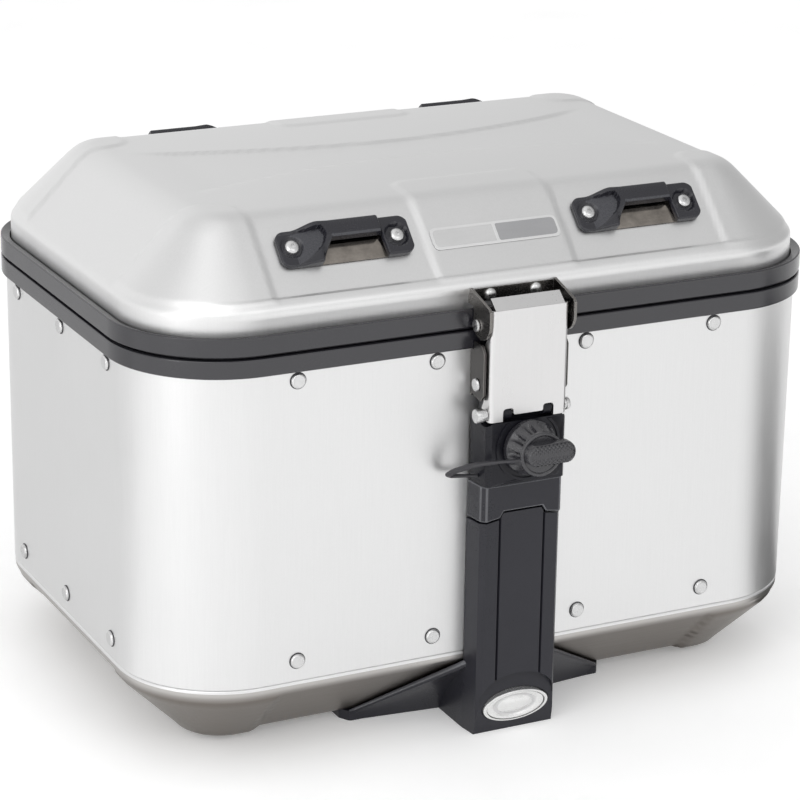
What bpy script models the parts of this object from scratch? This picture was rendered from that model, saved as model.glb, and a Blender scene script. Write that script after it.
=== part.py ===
"""Motorcycle top case: an aluminium box with a hinged lid, an over-centre draw latch
with a keyed lock, and a quick-release foot under a moulded base tray.

Units are millimetres in the constants and metres in the scene. +Z is up, the latch
faces -Y, and the origin is the centre of the base tray's underside.
"""
from math import cos, pi, radians, sin, sqrt

import bmesh
import bpy
from mathutils import Matrix, Vector

MM = 0.001
GAP = 0.4                   # running gap between neighbouring solids

# ---- case ------------------------------------------------------------------------
HALF_WIDTH = 218.7          # outside of the wall, X
HALF_DEPTH = 147.8          # outside of the wall, Y
CORNER_R = 63.6             # vertical corner radius of the wall
CORNER_STEPS = 5
WALL_T = 1.8
WALL_Z0, WALL_Z1 = 49.5, 244.5
PAN_FLOOR_Z = 6.5           # underside of the drawn pan
PAN_T = 2.0
PAN_FOOT_DROP = 2.7         # the pan's corners hang this much lower
RIM_OVERHANG = 3.0          # both rims stand proud of the wall
PARTING_Z = 247.2           # middle of the gap between the two rims
LID_TOP_Z = 317.8
LID_INSET = 3.4             # lid wall behind the body wall's plane
LID_SLOPE_Z0, LID_SLOPE_T0 = 272.0, 4.6     # foot of the 45 degree slope

# ---- rivets ----------------------------------------------------------------------
RIVET_X = (48.0, 134.1)     # front and rear columns, both signs
RIVET_Y = (-74.5, 0.0, 74.5)
RIVET_UP_Z, RIVET_LOW_Z = 230.0, 62.1
RIVET_HEAD_R, RIVET_SHANK_R, RIVET_HEAD_H = 4.5, 2.2, 1.9
FASTENER_STEPS = 8          # sides of every small round piece

# ---- strap loops on the lid's slopes ---------------------------------------------
LOOP_X = 93.9               # centre of each loop
LOOP_SCREW_DX = 32.2
LOOP_Y, LOOP_Z = 120.6, 294.85              # foot of the loop's centre on the slope
LOOP_HALF_HEIGHT = 12.0

# ---- lock column, draw latch -----------------------------------------------------
COLUMN_DEPTH = 17.0         # front of the column ahead of the wall
COLUMN_HW_WALL, COLUMN_HW_FRONT = 27.6, 24.6
BLOCK_Z0, BLOCK_Z1 = 156.8, 195.5
BLOCK_FRONT = 21.0
HANDLE_PIVOT = (8.5, 215.8)                 # depth ahead of the wall, height
LINK_PIVOT = (15.5, 199.6)
KEY_Z = 179.5
KEY_R = 8.6
STUD = (8.5, 251.0)         # keeper studs on the lid bracket's ears
EAR_IN, EAR_T = 25.6, 1.6   # body bracket's ears
PLATE_HW, PLATE_T = 24.7, 1.5
BUTTON_D, BUTTON_Z = 14.7, 15.7
BUTTON_AXIS = Vector((0.0, -0.9855, -0.1697)).normalized()

# ---- rear hinges -----------------------------------------------------------------
HINGE_X = 91.0
HINGE_Y = HALF_DEPTH + 9.0
HINGE_KNUCKLE_R, HINGE_PIN_R = 4.5, 2.0


# ==== scene and materials =========================================================
for old in list(bpy.data.objects):
    bpy.data.objects.remove(old, do_unlink=True)


def material(name, colour, roughness, metallic):
    mat = bpy.data.materials.new(name)
    mat.use_nodes = True
    shader = mat.node_tree.nodes["Principled BSDF"]
    shader.inputs["Base Color"].default_value = (*colour, 1.0)
    shader.inputs["Roughness"].default_value = roughness
    shader.inputs["Metallic"].default_value = metallic
    mat.diffuse_color = (*colour, 1.0)
    return mat


def empty(name, y, z):
    pivot = bpy.data.objects.new(name, None)
    pivot.location = (0.0, y * MM, z * MM)
    bpy.context.collection.objects.link(pivot)
    return pivot


def add(name, bm, look=None, pivot=None):
    """Makes an object of bm, in millimetres; its origin is its joint's pivot."""
    centre = pivot.location.copy() if pivot else Vector((0.0, 0.0, 0.0))
    bmesh.ops.recalc_face_normals(bm, faces=bm.faces)
    bm.transform(Matrix.Translation(-centre) @ Matrix.Scale(MM, 4))
    mesh = bpy.data.meshes.new(name)
    bm.to_mesh(mesh)
    bm.free()
    mesh.shade_smooth()
    mesh.set_sharp_from_angle(angle=radians(30))
    obj = bpy.data.objects.new(name, mesh)
    bpy.context.collection.objects.link(obj)
    if pivot:
        obj.parent = pivot
    if look:
        mesh.materials.append(material(name, *look))
    return obj


def tool(name, *meshes):
    """Joins bmeshes into one hidden helper for a Boolean."""
    joined = bmesh.new()
    for bm in meshes:
        bmesh.ops.recalc_face_normals(bm, faces=bm.faces)
        scratch = bpy.data.meshes.new("scratch")
        bm.to_mesh(scratch)
        joined.from_mesh(scratch)
        bpy.data.meshes.remove(scratch)
        bm.free()
    obj = add(name, joined)
    obj.hide_render = True
    obj.display_type = "WIRE"
    return obj


def boolean(obj, helper, operation="DIFFERENCE", crossing=False):
    """crossing: the helper's own pieces run into each other."""
    mod = obj.modifiers.new(operation.title(), "BOOLEAN")
    mod.operation = operation
    mod.solver = "EXACT"
    mod.use_self = crossing
    mod.object = helper


# ==== shapes ======================================================================
def wall_loop(inset, scale=1.0):
    """Points of the case's rounded rectangle, moved inwards by inset."""
    radius = CORNER_R - inset
    cx, cy = HALF_WIDTH - CORNER_R, HALF_DEPTH - CORNER_R
    loop = []
    for sx, sy, start in ((1, -1, -pi / 2), (1, 1, 0.0), (-1, 1, pi / 2), (-1, -1, pi)):
        for step in range(CORNER_STEPS + 1):
            angle = start + step / CORNER_STEPS * pi / 2
            loop.append(((sx * cx + radius * cos(angle)) * scale,
                         (sy * cy + radius * sin(angle)) * scale,
                         step / CORNER_STEPS))
    return loop


def band_between(bm, lower, upper):
    count = len(lower)
    for i in range(count):
        j = (i + 1) % count
        bm.faces.new((lower[i], lower[j], upper[j], upper[i]))


def ring(profile):
    """Closed profile of (inset, z) swept round the case."""
    bm = bmesh.new()
    loops = [[bm.verts.new((x, y, z)) for x, y, _ in wall_loop(t)] for t, z in profile]
    for a, b in zip(loops, loops[1:] + loops[:1]):
        band_between(bm, a, b)
    return bm


def shell(rings, first_z, last_z):
    """Rings of (inset, z, scale, corner drop) from one crown over the rim to the other."""
    bm = bmesh.new()
    loops = []
    for inset, z, scale, drop in rings:
        loops.append([bm.verts.new((x, y, z - drop * min(1.0, 4.5 * f * (1 - f))))
                      for x, y, f in wall_loop(inset, scale)])
    for a, b in zip(loops, loops[1:]):
        band_between(bm, a, b)
    for loop, z in ((loops[0], first_z), (loops[-1], last_z)):
        centre = bm.verts.new((0.0, 0.0, z))
        for i, vert in enumerate(loop):
            bm.faces.new((vert, loop[(i + 1) % len(loop)], centre))
    return bm


def prism(outline, low, high, axis="X"):
    """Extrudes an outline. X: points are (y, z); Y: (x, z); Z: (x, y)."""
    place = {"X": lambda a, b: (low, a, b), "Y": lambda a, b: (a, low, b),
             "Z": lambda a, b: (a, b, low)}[axis]
    along = {"X": Vector((1, 0, 0)), "Y": Vector((0, 1, 0)), "Z": Vector((0, 0, 1))}[axis]
    bm = bmesh.new()
    face = bm.faces.new([bm.verts.new(place(a, b)) for a, b in outline])
    top = bmesh.ops.extrude_face_region(bm, geom=[face])["geom"]
    bmesh.ops.translate(bm, vec=along * (high - low),
                        verts=[v for v in top if isinstance(v, bmesh.types.BMVert)])
    return bm


def side_prism(outline, low, high):
    """Extrudes along X an outline given as (depth ahead of the front wall, z)."""
    return prism([(-HALF_DEPTH - d, z) for d, z in outline], low, high)


def box(x0, x1, y0, y1, z0, z1):
    return prism([(x0, y0), (x1, y0), (x1, y1), (x0, y1)], z0, z1, "Z")


def aligned(bm, origin, direction, roll=Vector((1, 0, 0))):
    """Turns local +Z to direction, with local +X along roll, and moves it to origin."""
    z = Vector(direction).normalized()
    x = (Vector(roll) - z * z.dot(Vector(roll))).normalized()
    if abs(z.dot(Vector(roll))) > 0.99:
        x = Vector((0, 1, 0))
    y = z.cross(x)
    turn = Matrix((x, y, z)).transposed().to_4x4()
    bm.transform(Matrix.Translation(Vector(origin)) @ turn)
    return bm


def turned(profile, origin, direction, steps=12):
    """Solid of revolution of (radius, height) points, from axis to axis."""
    bm = bmesh.new()
    rows = []
    for r, h in profile:
        if r == 0.0:
            rows.append([bm.verts.new((0, 0, h))])
        else:
            rows.append([bm.verts.new((r * cos(2 * pi * k / steps), r * sin(2 * pi * k / steps), h))
                         for k in range(steps)])
    for a, b in zip(rows, rows[1:]):
        for k in range(steps):
            n = (k + 1) % steps
            corners = [a[k % len(a)], a[n % len(a)], b[n % len(b)], b[k % len(b)]]
            bm.faces.new(list(dict.fromkeys(corners)))
    return aligned(bm, origin, direction)


def rod(radius, low, high, origin, direction, steps=12):
    return turned([(0.0, low), (radius, low), (radius, high), (0.0, high)],
                  origin, direction, steps)


def spool(shank_r, head_r, low, tail, grip, head, origin, direction,
          steps=FASTENER_STEPS):
    """A fastener: tail flange, shank and a domed head. Heights along direction."""
    return turned([(0.0, low), (head_r * 0.85, low), (head_r * 0.85, tail), (shank_r, tail),
                   (shank_r, grip), (head_r, grip), (head_r * 0.8, head), (0.0, head)],
                  origin, direction, steps)


def arc(centre, radius, start, end, steps):
    return [(centre[0] + radius * cos(radians(start + (end - start) * k / steps)),
             centre[1] + radius * sin(radians(start + (end - start) * k / steps)))
            for k in range(steps + 1)]


def front(d):
    """Y of a plane at depth d ahead of the front wall."""
    return -HALF_DEPTH - d


# ==== looks: colour, roughness, metallic ==========================================
ALUMINIUM = ((0.80, 0.80, 0.81), 0.42, 1.0)
PAN_METAL = ((0.62, 0.60, 0.58), 0.38, 1.0)
STEEL = ((0.74, 0.74, 0.75), 0.22, 1.0)
DARK_STEEL = ((0.36, 0.36, 0.38), 0.35, 1.0)
PLASTIC = ((0.042, 0.044, 0.055), 0.45, 0.0)
RIM_PLASTIC = ((0.055, 0.057, 0.065), 0.38, 0.0)
RUBBER = ((0.030, 0.031, 0.038), 0.70, 0.0)
BUTTON_SILVER = ((0.82, 0.82, 0.80), 0.28, 0.6)

# ==== rivet positions =============================================================
rivet_sites = []
for sy in (-1, 1):
    for x in (-RIVET_X[1], -RIVET_X[0], RIVET_X[0], RIVET_X[1]):
        rivet_sites.append(((x, sy * HALF_DEPTH), (0, sy, 0)))
for sx in (-1, 1):
    for y in RIVET_Y:
        rivet_sites.append(((sx * HALF_WIDTH, y), (sx, 0, 0)))


def rivets(z, root):
    return [turned([(0.0, root), (RIVET_SHANK_R, root), (RIVET_SHANK_R, 0.35),
                    (RIVET_HEAD_R, 0.35), (3.6, 0.35 + RIVET_HEAD_H),
                    (0.0, 0.35 + RIVET_HEAD_H)], (x, y, z), normal, FASTENER_STEPS)
            for (x, y), normal in rivet_sites]


def rivet_holes(z, root):
    return [rod(RIVET_SHANK_R + GAP, root, 3.0, (x, y, z), normal, FASTENER_STEPS)
            for (x, y), normal in rivet_sites]


# ==== case body ===================================================================
hinge_rivet_sites = [(sx * HINGE_X + dx, 214.0) for sx in (-1, 1) for dx in (-14.0, 14.0)]
base_rivet_sites = [(x, 229.0) for x in (-14.0, 14.0)]

body_shell = add("body_shell", ring([(0.0, WALL_Z0), (0.0, WALL_Z1), (WALL_T, WALL_Z1),
                                     (WALL_T, WALL_Z0)]), ALUMINIUM)
boolean(body_shell, tool(
    "wall_holes", *rivet_holes(RIVET_UP_Z, -3.0), *rivet_holes(RIVET_LOW_Z, -3.0),
    *[rod(2.4, -3.0, 3.0, (x, HALF_DEPTH, z), (0, 1, 0), FASTENER_STEPS)
      for x, z in hinge_rivet_sites],
    *[rod(2.4, -3.0, 3.0, (x, -HALF_DEPTH, z), (0, -1, 0), FASTENER_STEPS)
      for x, z in base_rivet_sites]))

floor = PAN_FLOOR_Z
bottom_pan = add("bottom_pan", shell(
    [(58.0, floor, 0.6, 0.0), (58.0, floor, 1.0, 0.0), (52.0, floor, 1.0, PAN_FOOT_DROP),
     (40.5, floor, 1.0, PAN_FOOT_DROP), (36.0, floor + 1.7, 1.0, 1.4), (1.0, 43.2, 1.0, 0.0),
     (0.2, 44.8, 1.0, 0.0), (0.2, 48.0, 1.0, 0.0), (0.9, 49.1, 1.0, 0.0),
     (2.2, 49.1, 1.0, 0.0), (2.2, 74.0, 1.0, 0.0),
     (4.2, 74.0, 1.0, 0.0), (4.2, 47.4, 1.0, 0.0), (2.6, 44.4, 1.0, 0.0),
     (36.8, floor + 3.8, 1.0, 1.4), (41.3, floor + PAN_T, 1.0, PAN_FOOT_DROP),
     (52.0, floor + PAN_T, 1.0, PAN_FOOT_DROP), (58.0, floor + PAN_T, 1.0, 0.0),
     (58.0, floor + PAN_T, 0.6, 0.0)], floor, floor + PAN_T), PAN_METAL)
tray_screw_sites = [(sx * 60.0, sy * 72.0) for sx in (-1, 1) for sy in (-1, 1)]
boolean(bottom_pan, tool(
    "pan_holes", *rivet_holes(RIVET_LOW_Z, -4.6),
    *[rod(3.4, floor - 2.0, floor + 4.0, (x, y, 0), (0, 0, 1)) for x, y in tray_screw_sites]))

add("body_rim", ring([(-RIM_OVERHANG, 236.9), (-2.0, 235.9), (-GAP, 235.9), (-GAP, 244.9),
                      (2.2, 244.9), (2.2, 237.6), (4.2, 237.6), (4.2, 246.3),
                      (-2.2, 246.3), (-RIM_OVERHANG, 245.5)]), RIM_PLASTIC)

upper_rail = add("upper_rivet_rail",
                 ring([(2.2, 224.0), (2.2, 236.0), (3.7, 236.0), (3.7, 224.0)]), ALUMINIUM)
boolean(upper_rail, tool("upper_rivets", *rivets(RIVET_UP_Z, -3.1)), "UNION")
boolean(upper_rail, tool("rail_holes", *[
    rod(2.4, -6.0, 0.0, (x, -HALF_DEPTH, z), (0, -1, 0), FASTENER_STEPS)
    for x, z in base_rivet_sites]))
lower_rail = add("lower_rivet_rail",
                 ring([(4.6, 56.0), (4.6, 68.4), (6.1, 68.4), (6.1, 56.0)]), ALUMINIUM)
boolean(lower_rail, tool("lower_rivets", *rivets(RIVET_LOW_Z, -5.5)), "UNION")

# ==== base tray: plate under the pan, front wings on the pan's slope ===============
tray = add("mount_tray", prism(
    [(-84, -113), (84, -113), (88, -106), (88, 100), (76, 112), (-76, 112), (-88, 100),
     (-88, -106)], 0.0, 6.1, "Z"), PLASTIC)


def wing(side):
    """Wedge from the tray's front edge up the pan's 45 degree slope."""
    near, tip = side * 28.4, side * 84.0
    slope = lambda z: -103.6 - 0.6 - z          # y of the pan's slope, less the gap
    points = [(near, slope(43.0), 43.0), (tip, slope(7.2), 7.2), (near, slope(6.4), 6.4),
              (near, slope(43.0) - 1.2, 38.5), (tip, -112.6, 0.2), (near, -118.5, 0.2),
              (near, -109.0, 0.2), (tip - side * 4, -109.0, 0.2),
              (near, -109.0, 5.2), (tip - side * 4, -109.0, 5.2)]
    bm = bmesh.new()
    for point in points:
        bm.verts.new(point)
    bmesh.ops.convex_hull(bm, input=list(bm.verts))
    return bm


def bare(bm):
    """Drops the loose points that a convex hull leaves inside."""
    loose = [v for v in bm.verts if not v.link_faces]
    bmesh.ops.delete(bm, geom=loose, context="VERTS")
    return bm


boolean(tray, tool("tray_wings", bare(wing(-1)), bare(wing(1))), "UNION")
boolean(tray, tool(
    "tray_cuts",
    *[box(x - 16, x + 16, 88, 116, 1.6, 9.0) for x in (-44.0, 44.0)],
    *[rod(3.0, 1.5, 9.0, (x, y, 0), (0, 0, 1)) for x, y in tray_screw_sites],
    box(-30.0, 30.0, -108.0, -40.0, -1.0, 3.4)))
for index, (x, y) in enumerate(tray_screw_sites):
    add(f"tray_screw_{index + 1}", turned(
        [(0, 2.2), (2.6, 2.2), (2.6, floor + PAN_T + 0.3), (6.0, floor + PAN_T + 0.3),
         (6.0, 10.2), (4.8, 11.2), (0, 11.2)], (x, y, 0), (0, 0, 1)), STEEL)

# ==== lock column with its foot ===================================================
column = add("lock_column", side_prism(
    [(0.4, 139.8), (COLUMN_DEPTH, 139.8), (COLUMN_DEPTH, 29.0), (12.0, 0.0), (-34.2, 0.0),
     (-34.2, 8.6), (-1.0, 41.9), (0.4, 43.2)], -COLUMN_HW_WALL, COLUMN_HW_WALL), PLASTIC)
boolean(column, tool("column_plan", prism(
    [(-COLUMN_HW_WALL, -100), (-COLUMN_HW_WALL, front(0)), (-25.9, front(13.5)),
     (-COLUMN_HW_FRONT + 1.6, front(COLUMN_DEPTH + 0.2)),
     (COLUMN_HW_FRONT - 1.6, front(COLUMN_DEPTH + 0.2)), (25.9, front(13.5)),
     (COLUMN_HW_WALL, front(0)), (COLUMN_HW_WALL, -100)], -2.0, 150.0, "Z")), "INTERSECT")

button_centre = Vector((0.0, front(BUTTON_D), BUTTON_Z))
oval = Matrix.Diagonal((1.0, 0.48, 1.0, 1.0))


def oval_rod(half_width, low, high, steps=28):
    bm = bmesh.new()
    bmesh.ops.create_cone(bm, cap_ends=True, segments=steps, radius1=half_width,
                          radius2=half_width, depth=high - low,
                          matrix=Matrix.Translation((0, 0, (low + high) / 2)))
    bm.transform(oval)
    return aligned(bm, button_centre, BUTTON_AXIS)


boolean(column, tool(
    "column_cuts", prism([(-31, 133.2), (-14.5, 135.8), (-12.0, 139.7), (12.0, 139.7),
                          (14.5, 135.8), (31, 133.2), (31, 150), (-31, 150)],
                         front(20), front(-2), "Y"),
    oval_rod(22.2, -14.0, 4.0),
    rod(4.0, -24.0, -13.0, button_centre, BUTTON_AXIS),
    prism([(-146.4, -1.0), (-146.4, 24.5), (-131.5, 24.5), (-127.6, 20.6), (-127.6, -1.0)],
          -14.0, 14.0)), crossing=True)
# the column is a channel: its back is open above the foot
boolean(column, tool("column_channel", box(-20.0, 20.0, front(13.5), front(-1), 52.0, 128.0)))

collar_outline = [(-31, 133.6), (-15.0, 136.2), (-12.6, 140.1), (12.6, 140.1), (15.0, 136.2),
                  (31, 133.6), (31, 156.4), (-31, 156.4)]
collar = add("column_collar", prism(collar_outline, front(18.0), front(0.4), "Y"), PLASTIC)
boolean(collar, tool("collar_plan", prism(
    [(-COLUMN_HW_WALL, front(0.4)), (-26.3, front(14.5)), (-23.8, front(18.2)),
     (23.8, front(18.2)), (26.3, front(14.5)), (COLUMN_HW_WALL, front(0.4))],
    120.0, 170.0, "Z")), "INTERSECT")
boolean(collar, tool("bolt_pocket", box(-6.8, 6.8, front(9.6), front(4.4), 150.0, 160.0)))

# ==== quick-release button, its spring and the mounting hook =======================
release = empty("release_axis", button_centre.y, button_centre.z)
button = add("release_button", oval_rod(21.5, -4.0, 0.9), BUTTON_SILVER, release)
boolean(button, tool("button_stem", rod(3.4, -22.8, -3.0, button_centre, BUTTON_AXIS)), "UNION")
button_dish = oval_rod(15.0, 0.2, 3.0)
boolean(button, tool("button_dish", button_dish))
add("mount_hook", prism(
    [(-139.0, 21.4), (-136.0, 21.4), (-133.0, 18.4), (-133.0, 1.8), (-144.6, 1.8),
     (-144.6, 5.4), (-139.0, 6.4)], -12.5, 12.5), STEEL, release)


def coil(radius, wire, turns, low, high, steps=9, sides=5):
    """Closed helical wire around the button's axis."""
    bm = bmesh.new()
    rings = []
    total = int(turns * steps)
    for k in range(total + 1):
        a = 2 * pi * k / steps
        h = low + wire + (high - low - 2 * wire) * k / total
        rings.append([bm.verts.new(((radius + wire * cos(2 * pi * s / sides)) * cos(a),
                                    (radius + wire * cos(2 * pi * s / sides)) * sin(a),
                                    h + wire * sin(2 * pi * s / sides)))
                      for s in range(sides)])
    for a, b in zip(rings, rings[1:]):
        band_between(bm, a, b)
    bm.faces.new(rings[0])
    bm.faces.new(rings[-1][::-1])
    return aligned(bm, button_centre, BUTTON_AXIS)


add("button_spring", coil(6.0, 0.5, 4, -13.6, -4.4), STEEL)

# ==== draw latch: body bracket, handle, link plate =================================
latch_base = add("latch_base", side_prism([(0.4, 207.5), (1.9, 207.5), (1.9, 235.4),
                                           (0.4, 235.4)], -27.2, 27.2), DARK_STEEL)
ear_outline = [(0.4, 209.7), (16.5, 206.8), (16.5, 236.0), (13.0, 240.4), (3.6, 240.4),
               (3.6, 235.4), (0.4, 235.4)]
boolean(latch_base, tool("base_ears", side_prism(ear_outline, -EAR_IN - EAR_T, -EAR_IN),
                         side_prism(ear_outline, EAR_IN, EAR_IN + EAR_T)), "UNION")
pivot_a = (0.0, front(HANDLE_PIVOT[0]), HANDLE_PIVOT[1])
pivot_b = (0.0, front(LINK_PIVOT[0]), LINK_PIVOT[1])
boolean(latch_base, tool(
    "base_holes", rod(2.8, -40, 40, pivot_a, (1, 0, 0)),
    *[rod(2.4, -4.0, 4.0, (x, -HALF_DEPTH, z), (0, -1, 0), FASTENER_STEPS)
      for x, z in base_rivet_sites]))
for index, (x, z) in enumerate(base_rivet_sites):
    add(f"base_rivet_{index + 1}", spool(2.0, 3.6, -5.4, -4.1, 2.2, 3.6,
                                         (x, -HALF_DEPTH, z), (0, -1, 0)), STEEL)


def cross_pin(origin, radius, head_r, grip, end):
    return turned([(0, -end), (head_r * 0.8, -end), (head_r, -end + 0.5), (head_r, -grip),
                   (radius, -grip), (radius, grip), (head_r, grip), (head_r, end - 0.5),
                   (head_r * 0.8, end), (0, end)], origin, (1, 0, 0))


add("handle_pin", cross_pin(pivot_a, 2.4, 3.9, EAR_IN + EAR_T + 0.3, 28.9), STEEL)

handle_axis = empty("handle_axis", pivot_a[1], pivot_a[2])
link_axis = empty("link_axis", pivot_b[1], pivot_b[2])

recess = arc(LINK_PIVOT, 6.9, -36.5, -125.0, 8)
block_outline = ([(2.2, BLOCK_Z0 + 1.5), (3.4, BLOCK_Z0), (19.2, BLOCK_Z0),
                  (BLOCK_FRONT, BLOCK_Z0 + 1.8), (BLOCK_FRONT, BLOCK_Z1 - 0.1)]
                 + recess + [(2.2, recess[-1][1])])
handle = add("latch_handle", side_prism(block_outline, -30.0, 30.0), PLASTIC, handle_axis)
boolean(handle, tool("block_plan", prism(
    [(-27.0, front(2.0)), (-25.6, front(17.5)), (-23.0, front(21.2)), (23.0, front(21.2)),
     (25.6, front(17.5)), (27.0, front(2.0))], 150.0, 205.0, "Z")), "INTERSECT")
arm_outline = ([(2.7, 186.0), (12.0, 186.0), (12.0, 206.0)]
               + arc(HANDLE_PIVOT, 5.5, -30.0, 180.0, 9) + [(2.7, 206.0)])
knuckle_outline = [(8.0, 196.0)] + arc(LINK_PIVOT, 4.2, -135.0, 135.0, 12) + [(8.0, 203.0)]
boolean(handle, tool("handle_arms", side_prism(arm_outline, -22.6, 22.6)), "UNION")
boolean(handle, tool("handle_knuckles", side_prism(knuckle_outline, -15.4, -10.2),
                     side_prism(knuckle_outline, 10.2, 15.4)), "UNION")
boolean(handle, tool("key_boss", rod(10.6, -2.0, 4.0, (0, front(BLOCK_FRONT), KEY_Z),
                                     (0, -1, 0), 24)), "UNION")
boolean(handle, tool("bolt_channel", box(-6.6, 6.6, front(9.4), front(4.6), 150.0, 172.5)))
boolean(handle, tool(
    "handle_bores", rod(2.75, -40, 40, pivot_a, (1, 0, 0)), rod(2.15, -40, 40, pivot_b, (1, 0, 0)),
    rod(KEY_R + GAP, 4.0, 30.0, (0, -HALF_DEPTH, KEY_Z), (0, -1, 0), 20)))
boolean(handle, tool("handle_waist", side_prism([(-1, 206.5), (20, 206.5), (20, 230), (-1, 230)],
                                                -17.0, 17.0)))

add("link_pin", cross_pin(pivot_b, 1.8, 4.0, PLATE_HW + 0.5, 28.7), STEEL, handle_axis)

key = empty("key_axis", front(BLOCK_FRONT), KEY_Z)
key.location.x = 0.0
key_cylinder = add("key_cylinder", rod(KEY_R, 4.4, 24.4, (0, -HALF_DEPTH, KEY_Z),
                                       (0, -1, 0), 24), STEEL, key)
boolean(key_cylinder, tool("keyway", box(-1.1, 1.1, front(26.0), front(22.4),
                                         KEY_Z - 4.5, KEY_Z + 4.5)))
add("lock_bolt", box(-6.0, 6.0, front(8.9), front(5.1), 157.6, 169.9), STEEL)

cap_axis = empty("cap_axis", front(BLOCK_FRONT), KEY_Z)
cap_profile = [(0, 5.4), (11.1, 5.4), (11.1, 0.5), (15.6, 0.5), (16.4, 1.3), (16.4, 4.6),
               (13.4, 14.8), (12.4, 17.4), (0, 17.4)]
key_cap = add("key_cap", turned(cap_profile, (0, front(BLOCK_FRONT), KEY_Z), (0, -1, 0), 32),
              RUBBER, cap_axis)
boolean(key_cap, tool("cap_grip", prism(
    [(-14.0, KEY_Z - 5.8), (13.0, KEY_Z - 5.8)] + [
        (13.0 + 4.2 * cos(radians(a)), KEY_Z + 5.8 * sin(radians(a))) for a in (-45, 0, 45)]
    + [(13.0, KEY_Z + 5.8), (-14.0, KEY_Z + 5.8)] + [
        (-13.0 - 4.2 * cos(radians(a)), KEY_Z + 5.8 * sin(radians(a))) for a in (45, 0, -45)],
    front(50.0), front(36.0), "Y")), "UNION")


def tether_curve():
    """Rubber strap from the cap's rim out to the left and back to the block's side."""
    knots = [Vector((-17.0, front(25.0), 177.0)), Vector((-27.0, front(26.0), 176.6)),
             Vector((-38.0, front(19.0), 172.0)), Vector((-46.5, front(9.5), 165.5)),
             Vector((-43.0, front(5.5), 162.6)), Vector((-35.0, front(7.5), 161.4)),
             Vector((-28.6, front(10.5), 161.2))]
    path = []
    ends = [knots[0] * 2 - knots[1]] + knots + [knots[-1] * 2 - knots[-2]]
    for a, b, c, d in zip(ends, ends[1:], ends[2:], ends[3:]):
        for k in range(3):
            t = k / 3
            path.append(0.5 * (2 * b + (c - a) * t + (2 * a - 5 * b + 4 * c - d) * t * t
                               + (3 * b - a - 3 * c + d) * t ** 3))
    path.append(knots[-1])
    curve = bpy.data.curves.new("cap_tether", "CURVE")
    curve.dimensions = "3D"
    curve.bevel_depth = 1.7 * MM
    curve.bevel_resolution = 2
    curve.render_resolution_u = 0
    curve.use_fill_caps = True
    spline = curve.splines.new("POLY")
    spline.points.add(len(path) - 1)
    for point, place in zip(spline.points, path):
        point.co = (*(place * MM), 1.0)
    curve.materials.append(material("cap_tether", *RUBBER))
    obj = bpy.data.objects.new("cap_tether", curve)
    bpy.context.collection.objects.link(obj)


tether_curve()

plate = add("latch_plate", side_prism([(19.0, 195.8), (20.5, 195.8), (20.5, 262.3),
                                       (19.0, 261.6)], -PLATE_HW, PLATE_HW), STEEL, link_axis)
flange_outline = [(19.3, 195.8), (11.8, 195.8), (9.6, 199.6), (10.8, 204.0), (12.6, 206.6),
                  (12.6, 240.0), (15.9, 244.6), (15.9, 257.5), (19.3, 261.4)]
boolean(plate, tool("plate_flanges",
                    side_prism(flange_outline, -PLATE_HW, -PLATE_HW + PLATE_T),
                    side_prism(flange_outline, PLATE_HW - PLATE_T, PLATE_HW)), "UNION")
boolean(plate, tool("plate_flap", side_prism([(19.2, 260.0), (20.4, 262.2), (9.5, 266.0),
                                              (9.1, 264.6), (18.2, 261.2)],
                                             -21.6, 21.6)), "UNION")
notch_outline = [(-16.2, 190.0), (16.2, 190.0), (16.2, 203.2), (9.5, 203.2), (9.5, 199.2),
                 (-9.5, 199.2), (-9.5, 203.2), (-16.2, 203.2)]
boolean(plate, tool("plate_cuts", prism(notch_outline, front(22), front(18), "Y"),
                    rod(2.1, -40, 40, pivot_b, (1, 0, 0))))

# ==== lid =========================================================================
slope_top_t = 39.5
slope_top_z = LID_SLOPE_Z0 + slope_top_t - LID_SLOPE_T0
lid_axis = empty("lid_axis", HINGE_Y, PARTING_Z)
lid_shell = add("lid_shell", shell(
    [(56.0, 317.0, 0.4, 0.0), (56.0, 315.5, 0.72, 0.0), (56.0, 313.6, 1.0, 0.0),
     (48.0, 312.2, 1.0, 0.0), (43.0, 309.9, 1.0, 0.0), (slope_top_t, slope_top_z, 1.0, 0.0),
     (LID_SLOPE_T0, LID_SLOPE_Z0, 1.0, 0.0), (LID_INSET, 269.2, 1.0, 0.0),
     (LID_INSET, 250.0, 1.0, 0.0), (LID_INSET + 2.0, 250.0, 1.0, 0.0),
     (LID_INSET + 2.0, 268.4, 1.0, 0.0), (LID_SLOPE_T0 + 1.8, LID_SLOPE_Z0 - 1.0, 1.0, 0.0),
     (slope_top_t + 1.2, slope_top_z - 1.7, 1.0, 0.0), (44.2, 308.0, 1.0, 0.0),
     (49.0, 310.2, 1.0, 0.0), (56.0, 311.6, 1.0, 0.0), (56.0, 313.5, 0.72, 0.0),
     (56.0, 315.0, 0.4, 0.0)], LID_TOP_Z, LID_TOP_Z - 2.0), ALUMINIUM, lid_axis)

loop_sites = [(sx * LOOP_X, sy) for sy in (-1, 1) for sx in (-1, 1)]


def slope_frame(x, sy):
    """Origin, up-slope direction and outward normal of a strap loop's seat."""
    return (Vector((x, sy * LOOP_Y, LOOP_Z)), Vector((0, -sy, 1)).normalized(),
            Vector((0, sy, 1)).normalized())


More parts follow.
